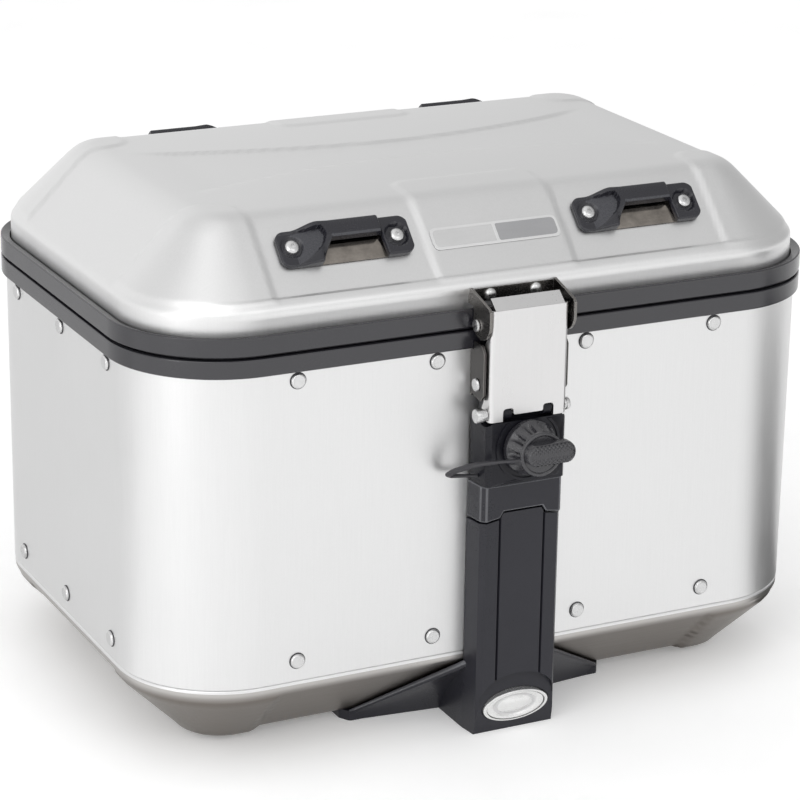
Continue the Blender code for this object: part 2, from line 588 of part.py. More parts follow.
loop_screw_sites = []
for x, sy in loop_sites:
    origin, up, normal = slope_frame(x, sy)
    for dx in (-LOOP_SCREW_DX, LOOP_SCREW_DX):
        loop_screw_sites.append((origin + Vector((dx, 0, 0)), normal))
bracket_rivet_sites = [(-14.6, 264.8), (14.6, 264.8)]
boolean(lid_shell, tool(
    "lid_holes",
    *[rod(2.6, -6.0, 4.0, place, normal, FASTENER_STEPS) for place, normal in loop_screw_sites],
    *[rod(2.4, -3.0, 3.0, (x, front(-LID_INSET), z), (0, -1, 0), FASTENER_STEPS)
      for x, z in bracket_rivet_sites]))
add("lid_rim", ring([(-RIM_OVERHANG, 249.0), (-RIM_OVERHANG, 259.5), (-2.0, 260.5),
                     (3.0, 260.5), (3.0, 249.6), (5.8, 249.6), (5.8, 255.0), (7.6, 255.0),
                     (7.6, 248.1), (-2.2, 248.1)]), RIM_PLASTIC, lid_axis)
add("lid_gasket", ring([(0.4, 246.65), (0.4, 247.8), (3.0, 247.8), (3.0, 246.65)]),
    RUBBER, lid_axis)

for index, (x, sy) in enumerate(loop_sites):
    origin, up, normal = slope_frame(x, sy)
    flip = -sy          # seen from outside, every loop has its long web on its left
    outline = [(-43, 0.5), (-43, 4.6), (-41.2, 6.4), (-23, 6.4), (-15, 12.6), (21.5, 12.6),
               (23.6, 10.8), (24.4, 6.4), (41.2, 6.4), (43, 4.6), (43, 0.5), (21.6, 0.5),
               (20.4, 8.4), (-12.5, 8.4), (-19.0, 0.5)]
    bm = prism([(flip * a, b) for a, b in outline], -LOOP_HALF_HEIGHT, LOOP_HALF_HEIGHT, "Z")
    turn = Matrix((Vector((1, 0, 0)), normal, up)).transposed().to_4x4()
    bm.transform(Matrix.Translation(origin) @ turn)
    loop = add(f"strap_loop_{index + 1}", bm, PLASTIC, lid_axis)
    boolean(loop, tool(f"loop_holes_{index + 1}", *[
        rod(2.6, -2.0, 12.0, origin + Vector((dx, 0, 0)), normal, FASTENER_STEPS)
        for dx in (-LOOP_SCREW_DX, LOOP_SCREW_DX)]))
for index, (place, normal) in enumerate(loop_screw_sites):
    add(f"loop_screw_{index + 1}", spool(2.2, 4.3, -3.9, -2.5, 6.8, 8.6, place, normal),
        STEEL, lid_axis)

badge_up, badge_n = slope_frame(0.0, -1)[1:]
badge_origin = Vector((0.0, -HALF_DEPTH + LID_SLOPE_T0 + (292.7 - LID_SLOPE_Z0), 292.7))
badge_half_w, badge_half_h, badge_r = 40.8, 7.1, 2.8
badge_points = []
for cx, cy, start in ((1, -1, -90), (1, 1, 0), (-1, 1, 90), (-1, -1, 180)):
    badge_points += arc((cx * (badge_half_w - badge_r), cy * (badge_half_h - badge_r)),
                        badge_r, start, start + 90, 4)
badge = prism(badge_points, 0.4, 1.2, "Z")
badge.transform(Matrix.Translation(badge_origin)
                @ Matrix((Vector((1, 0, 0)), badge_up, badge_n)).transposed().to_4x4())
add("badge_plate", badge, ALUMINIUM, lid_axis)

# ---- lid bracket with keeper studs -----------------------------------------------
bracket = add("lid_bracket", side_prism([(-3.0, 261.0), (-1.6, 261.0), (-1.6, 269.0),
                                         (-3.0, 269.0)], -27.7, 27.7), DARK_STEEL, lid_axis)
lid_ear = ([(-3.0, 261.0), (-3.0, 269.6), (24.0, 262.4)]
           + arc((12.5, 254.6), 11.0, 0, -100, 8) + [(3.7, 247.0), (3.7, 261.0)])
boolean(bracket, tool("lid_ears", side_prism(lid_ear, -27.7, -26.1),
                      side_prism(lid_ear, 26.1, 27.7)), "UNION")
stud_y = front(STUD[0])
boolean(bracket, tool(
    "bracket_holes", rod(2.7, -40, 40, (0, stud_y, STUD[1]), (1, 0, 0)),
    *[rod(2.4, -4.0, 6.0, (x, front(-LID_INSET), z), (0, -1, 0), FASTENER_STEPS)
      for x, z in bracket_rivet_sites]))
for index, (x, z) in enumerate(bracket_rivet_sites):
    add(f"bracket_rivet_{index + 1}", spool(2.0, 3.7, -3.8, -2.4, 2.2, 4.0,
                                            (x, front(-LID_INSET), z), (0, -1, 0)),
        STEEL, lid_axis)
for index, side in enumerate((-1, 1)):
    add(f"keeper_stud_{index + 1}", turned(
        [(0, 22.9), (2.4, 22.9), (2.4, 28.0), (3.7, 28.0), (3.7, 29.0), (2.8, 29.8), (0, 29.8)],
        (0, stud_y, STUD[1]), (side, 0, 0)), STEEL, lid_axis)

# ==== rear hinges =================================================================
for index, side in enumerate((-1, 1)):
    x = side * HINGE_X
    rear = lambda e: HALF_DEPTH + e
    knuckle = (HINGE_Y, PARTING_Z)
    body_leaf = add(f"hinge_body_leaf_{index + 1}", prism(
        [(rear(0.4), 204.0), (rear(2.4), 204.0), (rear(2.4), 231.0), (rear(6.0), 235.0),
         (rear(6.0), 241.5), (rear(3.7), 241.5), (rear(3.7), 235.6), (rear(0.4), 232.0)],
        x - 22, x + 22), STEEL)
    boolean(body_leaf, tool(f"body_knuckle_{index + 1}", prism(
        [(rear(3.7), 240.5), (rear(6.0), 240.5)] + arc(knuckle, HINGE_KNUCKLE_R, -75, 180, 10)
        + [(rear(3.7), 246.0)], x - 9, x + 9)), "UNION")
    boolean(body_leaf, tool(
        f"body_leaf_holes_{index + 1}", rod(HINGE_PIN_R + GAP, -40, 40, (x, *knuckle), (1, 0, 0)),
        *[rod(2.4, -1.0, 5.0, (x + dx, HALF_DEPTH, 214.0), (0, 1, 0), FASTENER_STEPS)
          for dx in (-14.0, 14.0)]))
    lid_leaf = add(f"hinge_lid_leaf_{index + 1}", prism(
        [(rear(-3.0), 261.2), (rear(3.4), 260.9), (rear(3.7), 260.0), (rear(3.7), 253.0),
         (rear(6.0), 253.0), (rear(6.0), 262.0), (rear(-1.0), 264.6), (rear(-1.0), 269.0),
         (rear(-3.0), 269.0)], x - 22, x + 22), STEEL, lid_axis)
    lid_knuckle = ([(rear(3.7), 254.0), (rear(3.7), 248.6)]
                   + arc(knuckle, HINGE_KNUCKLE_R, 180, 435, 10) + [(rear(6.0), 254.0)])
    boolean(lid_leaf, tool(f"lid_knuckles_{index + 1}",
                           prism(lid_knuckle, x - 19, x - 9.5),
                           prism(lid_knuckle, x + 9.5, x + 19)), "UNION")
    boolean(lid_leaf, tool(f"lid_leaf_holes_{index + 1}",
                           rod(HINGE_PIN_R + GAP, -40, 40, (x, *knuckle), (1, 0, 0))))
    add(f"hinge_pin_{index + 1}", turned(
        [(0, -21.0), (3.2, -21.0), (3.2, -19.5), (2.0, -19.5), (2.0, 19.5), (3.2, 19.5),
         (3.2, 21.0), (0, 21.0)], (x, *knuckle), (1, 0, 0)), STEEL)
for index, (x, z) in enumerate(hinge_rivet_sites):
    add(f"hinge_rivet_{index + 1}", spool(2.0, 3.8, -3.4, -2.2, 2.7, 4.2,
                                          (x, HALF_DEPTH, z), (0, 1, 0)), STEEL)
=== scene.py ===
from math import cos, pi, radians, sin, sqrt, tan

import bmesh
import bpy
import numpy as np
from mathutils import Matrix, Vector


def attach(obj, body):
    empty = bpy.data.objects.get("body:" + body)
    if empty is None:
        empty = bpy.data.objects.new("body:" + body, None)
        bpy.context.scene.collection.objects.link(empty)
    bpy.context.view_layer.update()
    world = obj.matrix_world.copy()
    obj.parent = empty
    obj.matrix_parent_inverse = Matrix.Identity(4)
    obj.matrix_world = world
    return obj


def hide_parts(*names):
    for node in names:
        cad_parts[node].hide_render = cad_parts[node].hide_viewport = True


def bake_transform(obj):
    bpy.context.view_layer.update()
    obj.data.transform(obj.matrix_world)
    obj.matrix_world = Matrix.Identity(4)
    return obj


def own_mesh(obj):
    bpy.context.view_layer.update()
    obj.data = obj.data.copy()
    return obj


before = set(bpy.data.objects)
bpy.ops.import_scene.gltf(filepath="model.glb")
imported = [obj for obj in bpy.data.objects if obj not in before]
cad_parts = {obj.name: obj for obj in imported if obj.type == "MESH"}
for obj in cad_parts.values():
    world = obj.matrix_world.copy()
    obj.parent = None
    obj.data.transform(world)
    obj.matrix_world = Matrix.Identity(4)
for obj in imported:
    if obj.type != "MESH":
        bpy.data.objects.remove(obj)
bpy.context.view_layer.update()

MM = 0.001
HALF_W, HALF_D, CORNER = 218.7, 147.8, 63.6
WALL_Z0, WALL_Z1 = 49.5, 244.5
RIVET_X, RIVET_Y = (48.0, 134.1), (-74.5, 0.0, 74.5)
RIVET_UP_Z, RIVET_LOW_Z = 230.0, 62.1
LOOP_X, LOOP_SCREW_DX, LOOP_Y, LOOP_Z = 93.9, 32.2, 120.6, 294.85
HANDLE_PIVOT, LINK_PIVOT = (8.5, 215.8), (15.5, 199.6)
KEY_Z, BLOCK_FRONT = 179.5, 21.0
STUD = (8.5, 251.0)
BUTTON = Vector((0.0, -HALF_D - 14.7, 15.7))
BUTTON_AXIS = Vector((0.0, -0.9855, -0.1697)).normalized()
HINGE_X, HINGE_Y, HINGE_Z = 91.0, HALF_D + 9.0, 247.2
COLUMN_HALF, BUTTON_RATIO = 27.6, 0.48
LID_SHEET, PAN_SHEET = 1.7, 1.9
LID_PAD, PAN_PAD = (144.5, 72.5), (144.5, 73.0)
FLOOR_HALF = 9000.0
ORIGIN, X_AXIS, Z_AXIS, AHEAD = (0, 0, 0), (1, 0, 0), (0, 0, 1), (0, -1, 0)


# ==== camera and light ============================================================
def add_node(tree, kind, inputs, **settings):
    """Adds a shader node; an input is a number or another node's output."""
    node = tree.nodes.new("ShaderNode" + kind)
    for key, value in settings.items():
        setattr(node, key, value)
    for key, value in inputs.items():
        if isinstance(value, bpy.types.NodeSocket):
            tree.links.new(value, node.inputs[key])
        else:
            node.inputs[key].default_value = value
    return node


def make_camera():
    data = bpy.data.cameras.new("camera")
    camera = bpy.data.objects.new("camera", data)
    bpy.context.scene.collection.objects.link(camera)
    camera.location = (-0.7716, -1.5552, 0.7457)
    camera.rotation_euler = (radians(71.184), radians(-0.807), radians(-26.181))
    data.sensor_width = 36.0
    data.lens = 133.06
    bpy.context.scene.camera = camera


def area_light(name, place, target, size, watts):
    data = bpy.data.lights.new(name, "AREA")
    data.shape = "DISK"
    data.size = size
    data.energy = watts
    lamp = bpy.data.objects.new(name, data)
    lamp.location = place
    aim = Vector(target) - Vector(place)
    lamp.rotation_euler = aim.to_track_quat("-Z", "Y").to_euler()
    bpy.context.scene.collection.objects.link(lamp)


def make_studio():
    """Soft light: white low down and at the zenith, greyer between and to the right."""
    area_light("key", (-1.9, -1.8, 2.4), (0, 0, 0.15), 2.6, 20.0)
    area_light("front", (0.6, -2.8, 2.2), (0, 0, 0.15), 1.6, 6.0)
    area_light("edge", (-1.9, -0.9, 0.35), (-0.15, -0.1, 0.15), 0.5, 2.6)
    world = bpy.data.worlds.new("studio")
    bpy.context.scene.world = world
    world.use_nodes = True
    tree = world.node_tree
    place = add_node(tree, "TexCoord", {}).outputs["Generated"]
    split = add_node(tree, "SeparateXYZ", {0: place})
    height = add_node(tree, "ValToRGB", {0: split.outputs["Z"]})
    ramp = height.color_ramp
    ramp.elements[0].position, ramp.elements[0].color = 0.30, (1.03, 1.03, 1.03, 1.0)
    ramp.elements[1].position, ramp.elements[1].color = 1.0, (1.02, 1.02, 1.02, 1.0)
    ramp.elements.new(0.83).color = (0.76, 0.76, 0.76, 1.0)
    side = add_node(tree, "VectorMath", {0: place, 1: (0.99, 0.10, 0.0)},
                    operation="DOT_PRODUCT")
    fade = add_node(tree, "MapRange", {"Value": side.outputs["Value"], "From Min": 0.2,
                                       "From Max": 0.95, "To Min": 1.0, "To Max": 0.52})
    shade = add_node(tree, "VectorMath", {0: height.outputs[0], "Scale": fade.outputs[0]},
                     operation="SCALE")
    background = tree.nodes["Background"]
    tree.links.new(shade.outputs[0], background.inputs["Color"])
    background.inputs["Strength"].default_value = 1.0
    bpy.context.scene.view_settings.view_transform = "Standard"


def lay(name, bm, mat):
    """Puts a flat object of the studio into the scene; it is no piece of the case."""
    bm.transform(Matrix.Scale(MM, 4))
    mesh = bpy.data.meshes.new(name)
    bm.to_mesh(mesh)
    bm.free()
    sheet = bpy.data.objects.new(name, mesh)
    bpy.context.scene.collection.objects.link(sheet)
    mesh.materials.append(mat)
    return sheet


def make_floor():
    """Pale paper that gives off a little light, so that it comes out near white."""
    bm = bmesh.new()
    bmesh.ops.create_grid(bm, x_segments=4, y_segments=4, size=FLOOR_HALF)
    lay("floor", bm, surface("floor_paper", (0.95, 0.95, 0.95), 0.9, 0.0,
                             grain=(90.0, 0.01, 0.02, 0.01),
                             Emission_Color=(1.0, 1.0, 1.0, 1.0), Emission_Strength=0.19))


def make_cards():
    """A dark card on the floor at the right and a pale one behind at the left; only
    reflections see them."""
    cards = (("dark_card", 0.10, [(226.0, -152.0), (900.0, -640.0), (900.0, -50.0),
                                  (226.0, -50.0)]),
             ("pale_card", 0.88, [(-226.0, -60.0), (-1200.0, 300.0), (-1200.0, 2400.0),
                                  (-226.0, 2400.0)]))
    for name, grey, corners in cards:
        card = lay(name, prism(corners, 1.0, 3.0, "Z"),
                   surface(name, (grey, grey, grey), 0.9, 0.0,
                           grain=(90.0, 0.05, 0.02, 0.01)))
        card.visible_camera = card.visible_diffuse = card.visible_shadow = False


# ==== materials ===================================================================
def surface(name, base, rough, metallic, streak=None, grain=None, cloud=(7.0, 0.03, 0.03),
            speck=None, fade=None, **sockets):
    """A procedural finish. streak: (density per metre along X, Y, Z, colour, roughness,
    bump); grain: (density, colour, roughness, bump); cloud: (density, colour, roughness);
    speck: (density, threshold, colour) for small light scuffs; fade: (low z, high z,
    colour reached at the high one)."""
    mat = bpy.data.materials.new(name)
    mat.use_nodes = True
    tree = mat.node_tree
    shader = tree.nodes["Principled BSDF"]
    shader.inputs["Metallic"].default_value = metallic
    for socket, value in sockets.items():
        shader.inputs[socket.replace("_", " ")].default_value = value
    place = add_node(tree, "TexCoord", {}).outputs["Object"]

    def noise(scale, detail, roughness_):
        mapping = add_node(tree, "Mapping", {"Vector": place, "Scale": scale})
        return add_node(tree, "TexNoise", {"Vector": mapping.outputs[0], "Scale": 1.0,
                                           "Detail": detail,
                                           "Roughness": roughness_}).outputs["Fac"]

    def remap(value, low, high, start=0.3, end=0.7):
        return add_node(tree, "MapRange", {"Value": value, "From Min": start, "From Max": end,
                                           "To Min": low, "To Max": high}).outputs[0]

    def math(operation, a, b):
        return add_node(tree, "Math", {0: a, 1: b}, operation=operation).outputs[0]

    def mixed(mask, a, b):
        return add_node(tree, "Mix", {"Factor": mask, "A": a, "B": (*b, 1.0)},
                        data_type="RGBA").outputs["Result"]

    layers = [(noise((cloud[0],) * 3, 4.0, 0.55), cloud[1], cloud[2], 0.0)]
    if streak:
        layers.append((noise(streak[0:3], 4.0, 0.7), *streak[3:6]))
    if grain:
        layers.append((noise((grain[0],) * 3, 2.0, 0.6), *grain[1:4]))
    tone = roughness = bump = None
    for value, colour, rough_, height in layers:
        t = remap(value, 1.0 - colour, 1.0 + colour)
        r = remap(value, -rough_, rough_)
        tone = t if tone is None else math("MULTIPLY", tone, t)
        roughness = r if roughness is None else math("ADD", roughness, r)
        if height:
            below = {} if bump is None else {"Normal": bump}
            bump = add_node(tree, "Bump", {"Strength": 1.0, "Distance": height * MM,
                                           "Height": value, **below}).outputs[0]
    level = add_node(tree, "Math", {0: roughness, 1: rough}, operation="ADD", use_clamp=True)
    tree.links.new(level.outputs[0], shader.inputs["Roughness"])
    out = add_node(tree, "VectorMath", {0: base, "Scale": tone}, operation="SCALE").outputs[0]
    if speck:
        mask = remap(noise((speck[0],) * 3, 5.0, 0.75), 0.0, 1.0, speck[1], speck[1] + 0.05)
        out = mixed(mask, out, speck[2])
    # fade mixes in a colour by height; on the pan it is a painted reflection near the lip
    if fade:
        split = add_node(tree, "SeparateXYZ", {0: place})
        mask = remap(split.outputs["Z"], 0.0, 1.0, fade[0] * MM, fade[1] * MM)
        out = mixed(mask, out, fade[2])
    tree.links.new(out, shader.inputs["Base Color"])
    if bump is not None:
        tree.links.new(bump, shader.inputs["Normal"])
    return mat


MOULDED = (1700.0, 0.10, 0.05, 0.03)
MOULDED_FINE = (1700.0, 0.10, 0.05, 0.02)
PATCHY = (16.0, 0.10, 0.05)
FINE_METAL = (1500.0, 0.02, 0.03, 0.002)
DRAWN = {"streak": (1300.0, 40.0, 1300.0, 0.05, 0.06, 0.003),
         "grain": (1100.0, 0.03, 0.03, 0.002), "cloud": (22.0, 0.10, 0.06)}

ALUMINIUM = surface("satin_aluminium", (0.765, 0.765, 0.765), 0.40, 1.0,
                    streak=(900.0, 900.0, 28.0, 0.018, 0.035, 0.004),
                    grain=(1600.0, 0.012, 0.03, 0.003), cloud=(9.0, 0.012, 0.03))
# Painted shade and painted reflection: the pan aluminium is darkened to stand for the shaded floor
# it reflects, and its fade lightens it towards the lip, where it reflects the lit floor.
SHADED_PAN_METAL = surface("pan_aluminium", (0.20, 0.182, 0.165), 0.34, 1.0,
                    streak=(40.0, 700.0, 700.0, 0.03, 0.04, 0.004),
                    grain=(1400.0, 0.02, 0.03, 0.003), cloud=(11.0, 0.04, 0.04),
                    fade=(40.5, 46.0, (0.50, 0.485, 0.47)))
INNER_METAL = surface("inner_aluminium", (0.72, 0.72, 0.72), 0.48, 1.0,
                      grain=(1200.0, 0.03, 0.04, 0.004), cloud=(12.0, 0.04, 0.04))
RIM = surface("rim_plastic", (0.013, 0.0125, 0.017), 0.22, 0.0,
              grain=(2200.0, 0.08, 0.05, 0.015), cloud=(14.0, 0.06, 0.04),
              Specular_IOR_Level=0.85)
PLASTIC = surface("black_plastic", (0.0175, 0.0175, 0.0235), 0.34, 0.0,
                  grain=MOULDED, cloud=PATCHY, speck=(420.0, 0.70, (0.03, 0.031, 0.038)),
                  Specular_IOR_Level=0.36)
# Painted shade: a darker copy of the black plastic for the handle block, standing for the shade it
# sits in.
SHADED_BLOCK_PLASTIC = surface("black_plastic_painted_shade", (0.010, 0.010, 0.014), 0.32, 0.0,
                        grain=MOULDED, cloud=PATCHY,
                        speck=(420.0, 0.70, (0.02, 0.021, 0.026)),
                        Specular_IOR_Level=0.26)
LOOP_PLASTIC = surface("black_plastic_gloss", (0.0165, 0.0165, 0.022), 0.24, 0.0,
                       grain=MOULDED_FINE, cloud=PATCHY, Specular_IOR_Level=0.55)
# Painted highlight: a lighter copy of the black plastic for up-facing faces of the loops' leaf
# facet and bar line.
LOOP_HIGHLIGHT_PLASTIC = surface("black_plastic_painted_highlight", (0.046, 0.047, 0.055), 0.28, 0.0,
                       grain=MOULDED_FINE, cloud=PATCHY, Specular_IOR_Level=0.5)
# Painted highlight: a lighter copy of the black plastic put on bevels and lips so the edges read
# as highlights.
EDGE = surface("black_plastic_painted_edge_highlight", (0.095, 0.097, 0.108), 0.26, 0.0,
               grain=MOULDED_FINE, cloud=(16.0, 0.25, 0.05), Specular_IOR_Level=0.6)
RUBBER = surface("black_rubber", (0.027, 0.0265, 0.031), 0.42, 0.0,
                 grain=(1900.0, 0.12, 0.05, 0.03), cloud=(20.0, 0.10, 0.05))
CAP_RUBBER = surface("cap_rubber", (0.024, 0.0235, 0.028), 0.27, 0.0,
                     grain=(1900.0, 0.12, 0.05, 0.02), cloud=(20.0, 0.10, 0.05),
                     Specular_IOR_Level=0.8)
STEEL = surface("stainless_steel", (0.70, 0.695, 0.695), 0.30, 1.0,
                streak=(900.0, 900.0, 20.0, 0.015, 0.02, 0.0008),
                grain=(1500.0, 0.01, 0.015, 0.0), cloud=(14.0, 0.02, 0.03))
BRACKET = surface("bracket_steel", (0.21, 0.20, 0.19), 0.28, 1.0, **DRAWN)
# Painted shade: a darker copy of the bracket steel for the latch bracket, standing for the shade
# behind the plate.
SHADED_BRACKET = surface("bracket_steel_painted_shade", (0.075, 0.072, 0.070), 0.32, 1.0, **DRAWN)
FASTENER = surface("fastener_steel", (0.66, 0.66, 0.66), 0.30, 1.0,
                   grain=(1500.0, 0.03, 0.05, 0.003), cloud=(60.0, 0.05, 0.05))
SILVER = surface("button_silver", (0.80, 0.80, 0.795), 0.24, 0.85,
                 grain=(1500.0, 0.02, 0.03, 0.001), cloud=(40.0, 0.02, 0.03))
# Painted shade: the lid aluminium seen through a strap loop, made dark brown with a strong patchy
# cloud to stand for the shade inside the loop.
POCKET_SHADE = surface("loop_floor_painted_shade", (0.27, 0.245, 0.22), 0.16, 1.0,
                 streak=(60.0, 900.0, 900.0, 0.05, 0.05, 0.003),
                 grain=(1400.0, 0.03, 0.03, 0.002), cloud=(48.0, 0.55, 0.06))
BADGE_EDGE = surface("badge_edge", (0.88, 0.88, 0.88), 0.34, 1.0,
                     grain=FINE_METAL, cloud=(30.0, 0.01, 0.02))
BADGE_LIGHT = surface("badge_light", (0.68, 0.68, 0.68), 0.50, 0.9,
                      streak=(60.0, 900.0, 900.0, 0.02, 0.04, 0.003),
                      grain=FINE_METAL, cloud=(30.0, 0.01, 0.02))
BADGE_DARK = surface("badge_dark", (0.44, 0.44, 0.45), 0.46, 0.9,
                     streak=(60.0, 900.0, 900.0, 0.03, 0.04, 0.003),
                     grain=(1500.0, 0.03, 0.03, 0.002), cloud=(30.0, 0.02, 0.02))


# ==== mesh helpers ================================================================
def bm_from(verts, faces):
    bm = bmesh.new()
    made = [bm.verts.new(v) for v in verts]
    for face in faces:
        bm.faces.new([made[i] for i in face])
    return bm


def merged(*parts):
    """Joins bmeshes; a part may be (bmesh, material index)."""
    joined = bmesh.new()
    for part in parts:
        bm, index = part if isinstance(part, tuple) else (part, None)
        bmesh.ops.recalc_face_normals(bm, faces=bm.faces)
        if index is not None:
            for face in bm.faces:
                face.material_index = index
        scratch = bpy.data.meshes.new("scratch")
        bm.to_mesh(scratch)
        joined.from_mesh(scratch)
        bpy.data.meshes.remove(scratch)
        bm.free()
    return joined


def boolean(a, b, operation="DIFFERENCE", crossing=False):
    """Exact Boolean of two bmeshes; crossing: b's own parts run into each other."""
    objects = []
    for bm in (a, b):
        bmesh.ops.recalc_face_normals(bm, faces=bm.faces)
        mesh = bpy.data.meshes.new("scratch")
        bm.to_mesh(mesh)
        bm.free()
        objects.append(bpy.data.objects.new("scratch", mesh))
        bpy.context.scene.collection.objects.link(objects[-1])
    mod = objects[0].modifiers.new("cut", "BOOLEAN")
    mod.operation, mod.solver, mod.object, mod.use_self = operation, "EXACT", objects[1], crossing
    graph = bpy.context.evaluated_depsgraph_get()
    result = bmesh.new()
    result.from_mesh(objects[0].evaluated_get(graph).to_mesh())
    for obj in objects:
        mesh = obj.data
        bpy.data.objects.remove(obj)
        bpy.data.meshes.remove(mesh)
    bmesh.ops.dissolve_limit(result, angle_limit=radians(0.4), verts=result.verts,
                             edges=result.edges)
    return result


def bevel(bm, width, segments=2, angle=32.0, material=-1):
    """Rounds edges sharper than angle; material is the new faces' index."""
    bmesh.ops.recalc_face_normals(bm, faces=bm.faces)
    edges = [e for e in bm.edges
             if len(e.link_faces) == 2 and e.calc_face_angle(0.0) > radians(angle)]
    bmesh.ops.bevel(bm, geom=edges, offset=width, offset_type="OFFSET", segments=segments,
                    profile=0.5, affect="EDGES", clamp_overlap=True,
                    material=material)
    return bm


def piece(name, bm, looks, body, nodes=(), smooth=38.0):
    """Makes the object, rides it on its body and hides the CAD nodes it stands for."""
    bmesh.ops.remove_doubles(bm, verts=bm.verts, dist=0.002)
    bmesh.ops.recalc_face_normals(bm, faces=bm.faces)
    bm.transform(Matrix.Scale(MM, 4))
    mesh = bpy.data.meshes.new(name)
    bm.to_mesh(mesh)
    bm.free()
    mesh.shade_smooth()
    mesh.set_sharp_from_angle(angle=radians(smooth))
    obj = bpy.data.objects.new(name, mesh)
    bpy.context.scene.collection.objects.link(obj)
    for mat in looks if isinstance(looks, (list, tuple)) else [looks]:
        mesh.materials.append(mat)
    weighted = obj.modifiers.new("normals", "WEIGHTED_NORMAL")
    weighted.keep_sharp = True
    if body:
        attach(obj, body)
    if nodes:
        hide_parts(*nodes)
    return obj


def rounded(points, radius, steps=4):
    """Rounds the corners of a closed outline. radius: one number, or one per corner."""
    out = []
    count = len(points)
    for i, p in enumerate(points):
        p = Vector(p)
        a, b = Vector(points[i - 1]) - p, Vector(points[(i + 1) % count]) - p
        r = radius[i] if isinstance(radius, (list, tuple)) else radius
        turn = pi - a.angle(b)
        cut = min(r * tan(turn / 2) if turn < 3.1 else r, 0.46 * min(a.length, b.length))
        if cut < 0.02 or turn < radians(4):
            out.append((p.x, p.y))
            continue
        start, end = p + a.normalized() * cut, p + b.normalized() * cut
        for k in range(steps + 1):
            t = k / steps
            q = start * (1 - t) ** 2 + p * 2 * t * (1 - t) + end * t * t
            out.append((q.x, q.y))
    return out


def prism(outline, low, high, axis="X"):
    """Extrudes an outline. X: points are (y, z); Y: (x, z); Z: (x, y)."""
    place = {"X": lambda a, b, c: (c, a, b), "Y": lambda a, b, c: (a, c, b),
             "Z": lambda a, b, c: (a, b, c)}[axis]
    n = len(outline)
    verts = [place(a, b, c) for c in (low, high) for a, b in outline]
    faces = [list(range(n)), list(range(2 * n - 1, n - 1, -1))]
    faces += [(i, (i + 1) % n, (i + 1) % n + n, i + n) for i in range(n)]
    return bm_from(verts, faces)


def side_prism(outline, low, high):
    """Extrudes along X an outline given as (depth ahead of the front wall, z)."""
    return prism([(-HALF_D - d, z) for d, z in outline], low, high)


def front(depth):
    return -HALF_D - depth


def box(x0, x1, y0, y1, z0, z1):
    return prism([(x0, y0), (x1, y0), (x1, y1), (x0, y1)], z0, z1, "Z")


def aligned(bm, origin, direction):
    """Turns local +Z to direction, keeps local +X near +X, and moves it to origin."""
    z = Vector(direction).normalized()
    x = Vector((1, 0, 0)) - z * z.x
    x = x.normalized() if x.length > 0.1 else Vector((0, 1, 0))
    turn = Matrix((x, z.cross(x), z)).transposed().to_4x4()
    bm.transform(Matrix.Translation(Vector(origin)) @ turn)
    return bm


def turned(profile, origin, direction, steps=32, shape=None):
    """Solid of revolution of (radius, height); shape(angle, height) scales the radius."""
    bm = bmesh.new()
    rows = []
    for r, h in profile:
        if r == 0.0:
            rows.append([bm.verts.new((0, 0, h))])
        else:
            ring = []
            for k in range(steps):
                a = 2 * pi * k / steps
                rr = r * (shape(a, h) if shape else 1.0)
                ring.append(bm.verts.new((rr * cos(a), rr * sin(a), h)))
            rows.append(ring)
    for a, b in zip(rows, rows[1:]):
        for k in range(steps):
            n = (k + 1) % steps
            corners = [a[k % len(a)], a[n % len(a)], b[n % len(b)], b[k % len(b)]]
            bm.faces.new(list(dict.fromkeys(corners)))
    return aligned(bm, origin, direction)


def rod(radius, low, high, origin, direction, steps=32, edge=0.0):
    if edge:
        return turned([(0, low), (radius - edge, low), (radius - edge * 0.3, low + edge * 0.3),
                       (radius, low + edge), (radius, high - edge),
                       (radius - edge * 0.3, high - edge * 0.3), (radius - edge, high),
                       (0, high)], origin, direction, steps)
    return turned([(0, low), (radius, low), (radius, high), (0, high)], origin, direction,
                  steps)


def arc(centre, radius, start, end, steps):
    return [(centre[0] + radius * cos(radians(start + (end - start) * k / steps)),
             centre[1] + radius * sin(radians(start + (end - start) * k / steps)))
            for k in range(steps + 1)]


def grid_solid(top, bottom):
    """Closed solid between two grids of points of the same size."""
    rows, cols = len(top), len(top[0])
    verts = [p for row in top for p in row] + [p for row in bottom for p in row]
    at = lambda i, j, layer: layer * rows * cols + i * cols + j
    faces = []
    for i in range(rows - 1):
        for j in range(cols - 1):
            faces.append((at(i, j, 0), at(i + 1, j, 0), at(i + 1, j + 1, 0), at(i, j + 1, 0)))
            faces.append((at(i, j, 1), at(i, j + 1, 1), at(i + 1, j + 1, 1), at(i + 1, j, 1)))
    rim = ([(i, 0) for i in range(rows)] + [(rows - 1, j) for j in range(1, cols)]
           + [(i, cols - 1) for i in range(rows - 2, -1, -1)]
           + [(0, j) for j in range(cols - 2, 0, -1)])
    for a, b in zip(rim, rim[1:] + rim[:1]):
        faces.append((at(*a, 0), at(*a, 1), at(*b, 1), at(*b, 0)))
    return bm_from(verts, faces)


def loft(loops):
    """Closed solid through loops of points, with flat ends."""
    rows, n = len(loops) - 1, len(loops[0])
    faces = [(i * n + k, i * n + (k + 1) % n, (i + 1) * n + (k + 1) % n, (i + 1) * n + k)
             for i in range(rows) for k in range(n)]
    faces += [list(range(n)), list(range(rows * n, rows * n + n))]
    return bm_from([p for loop in loops for p in loop], faces)


def smooth(value, low, high):
    t = np.clip((value - low) / (high - low), 0.0, 1.0)
    return t * t * (3.0 - 2.0 * t)


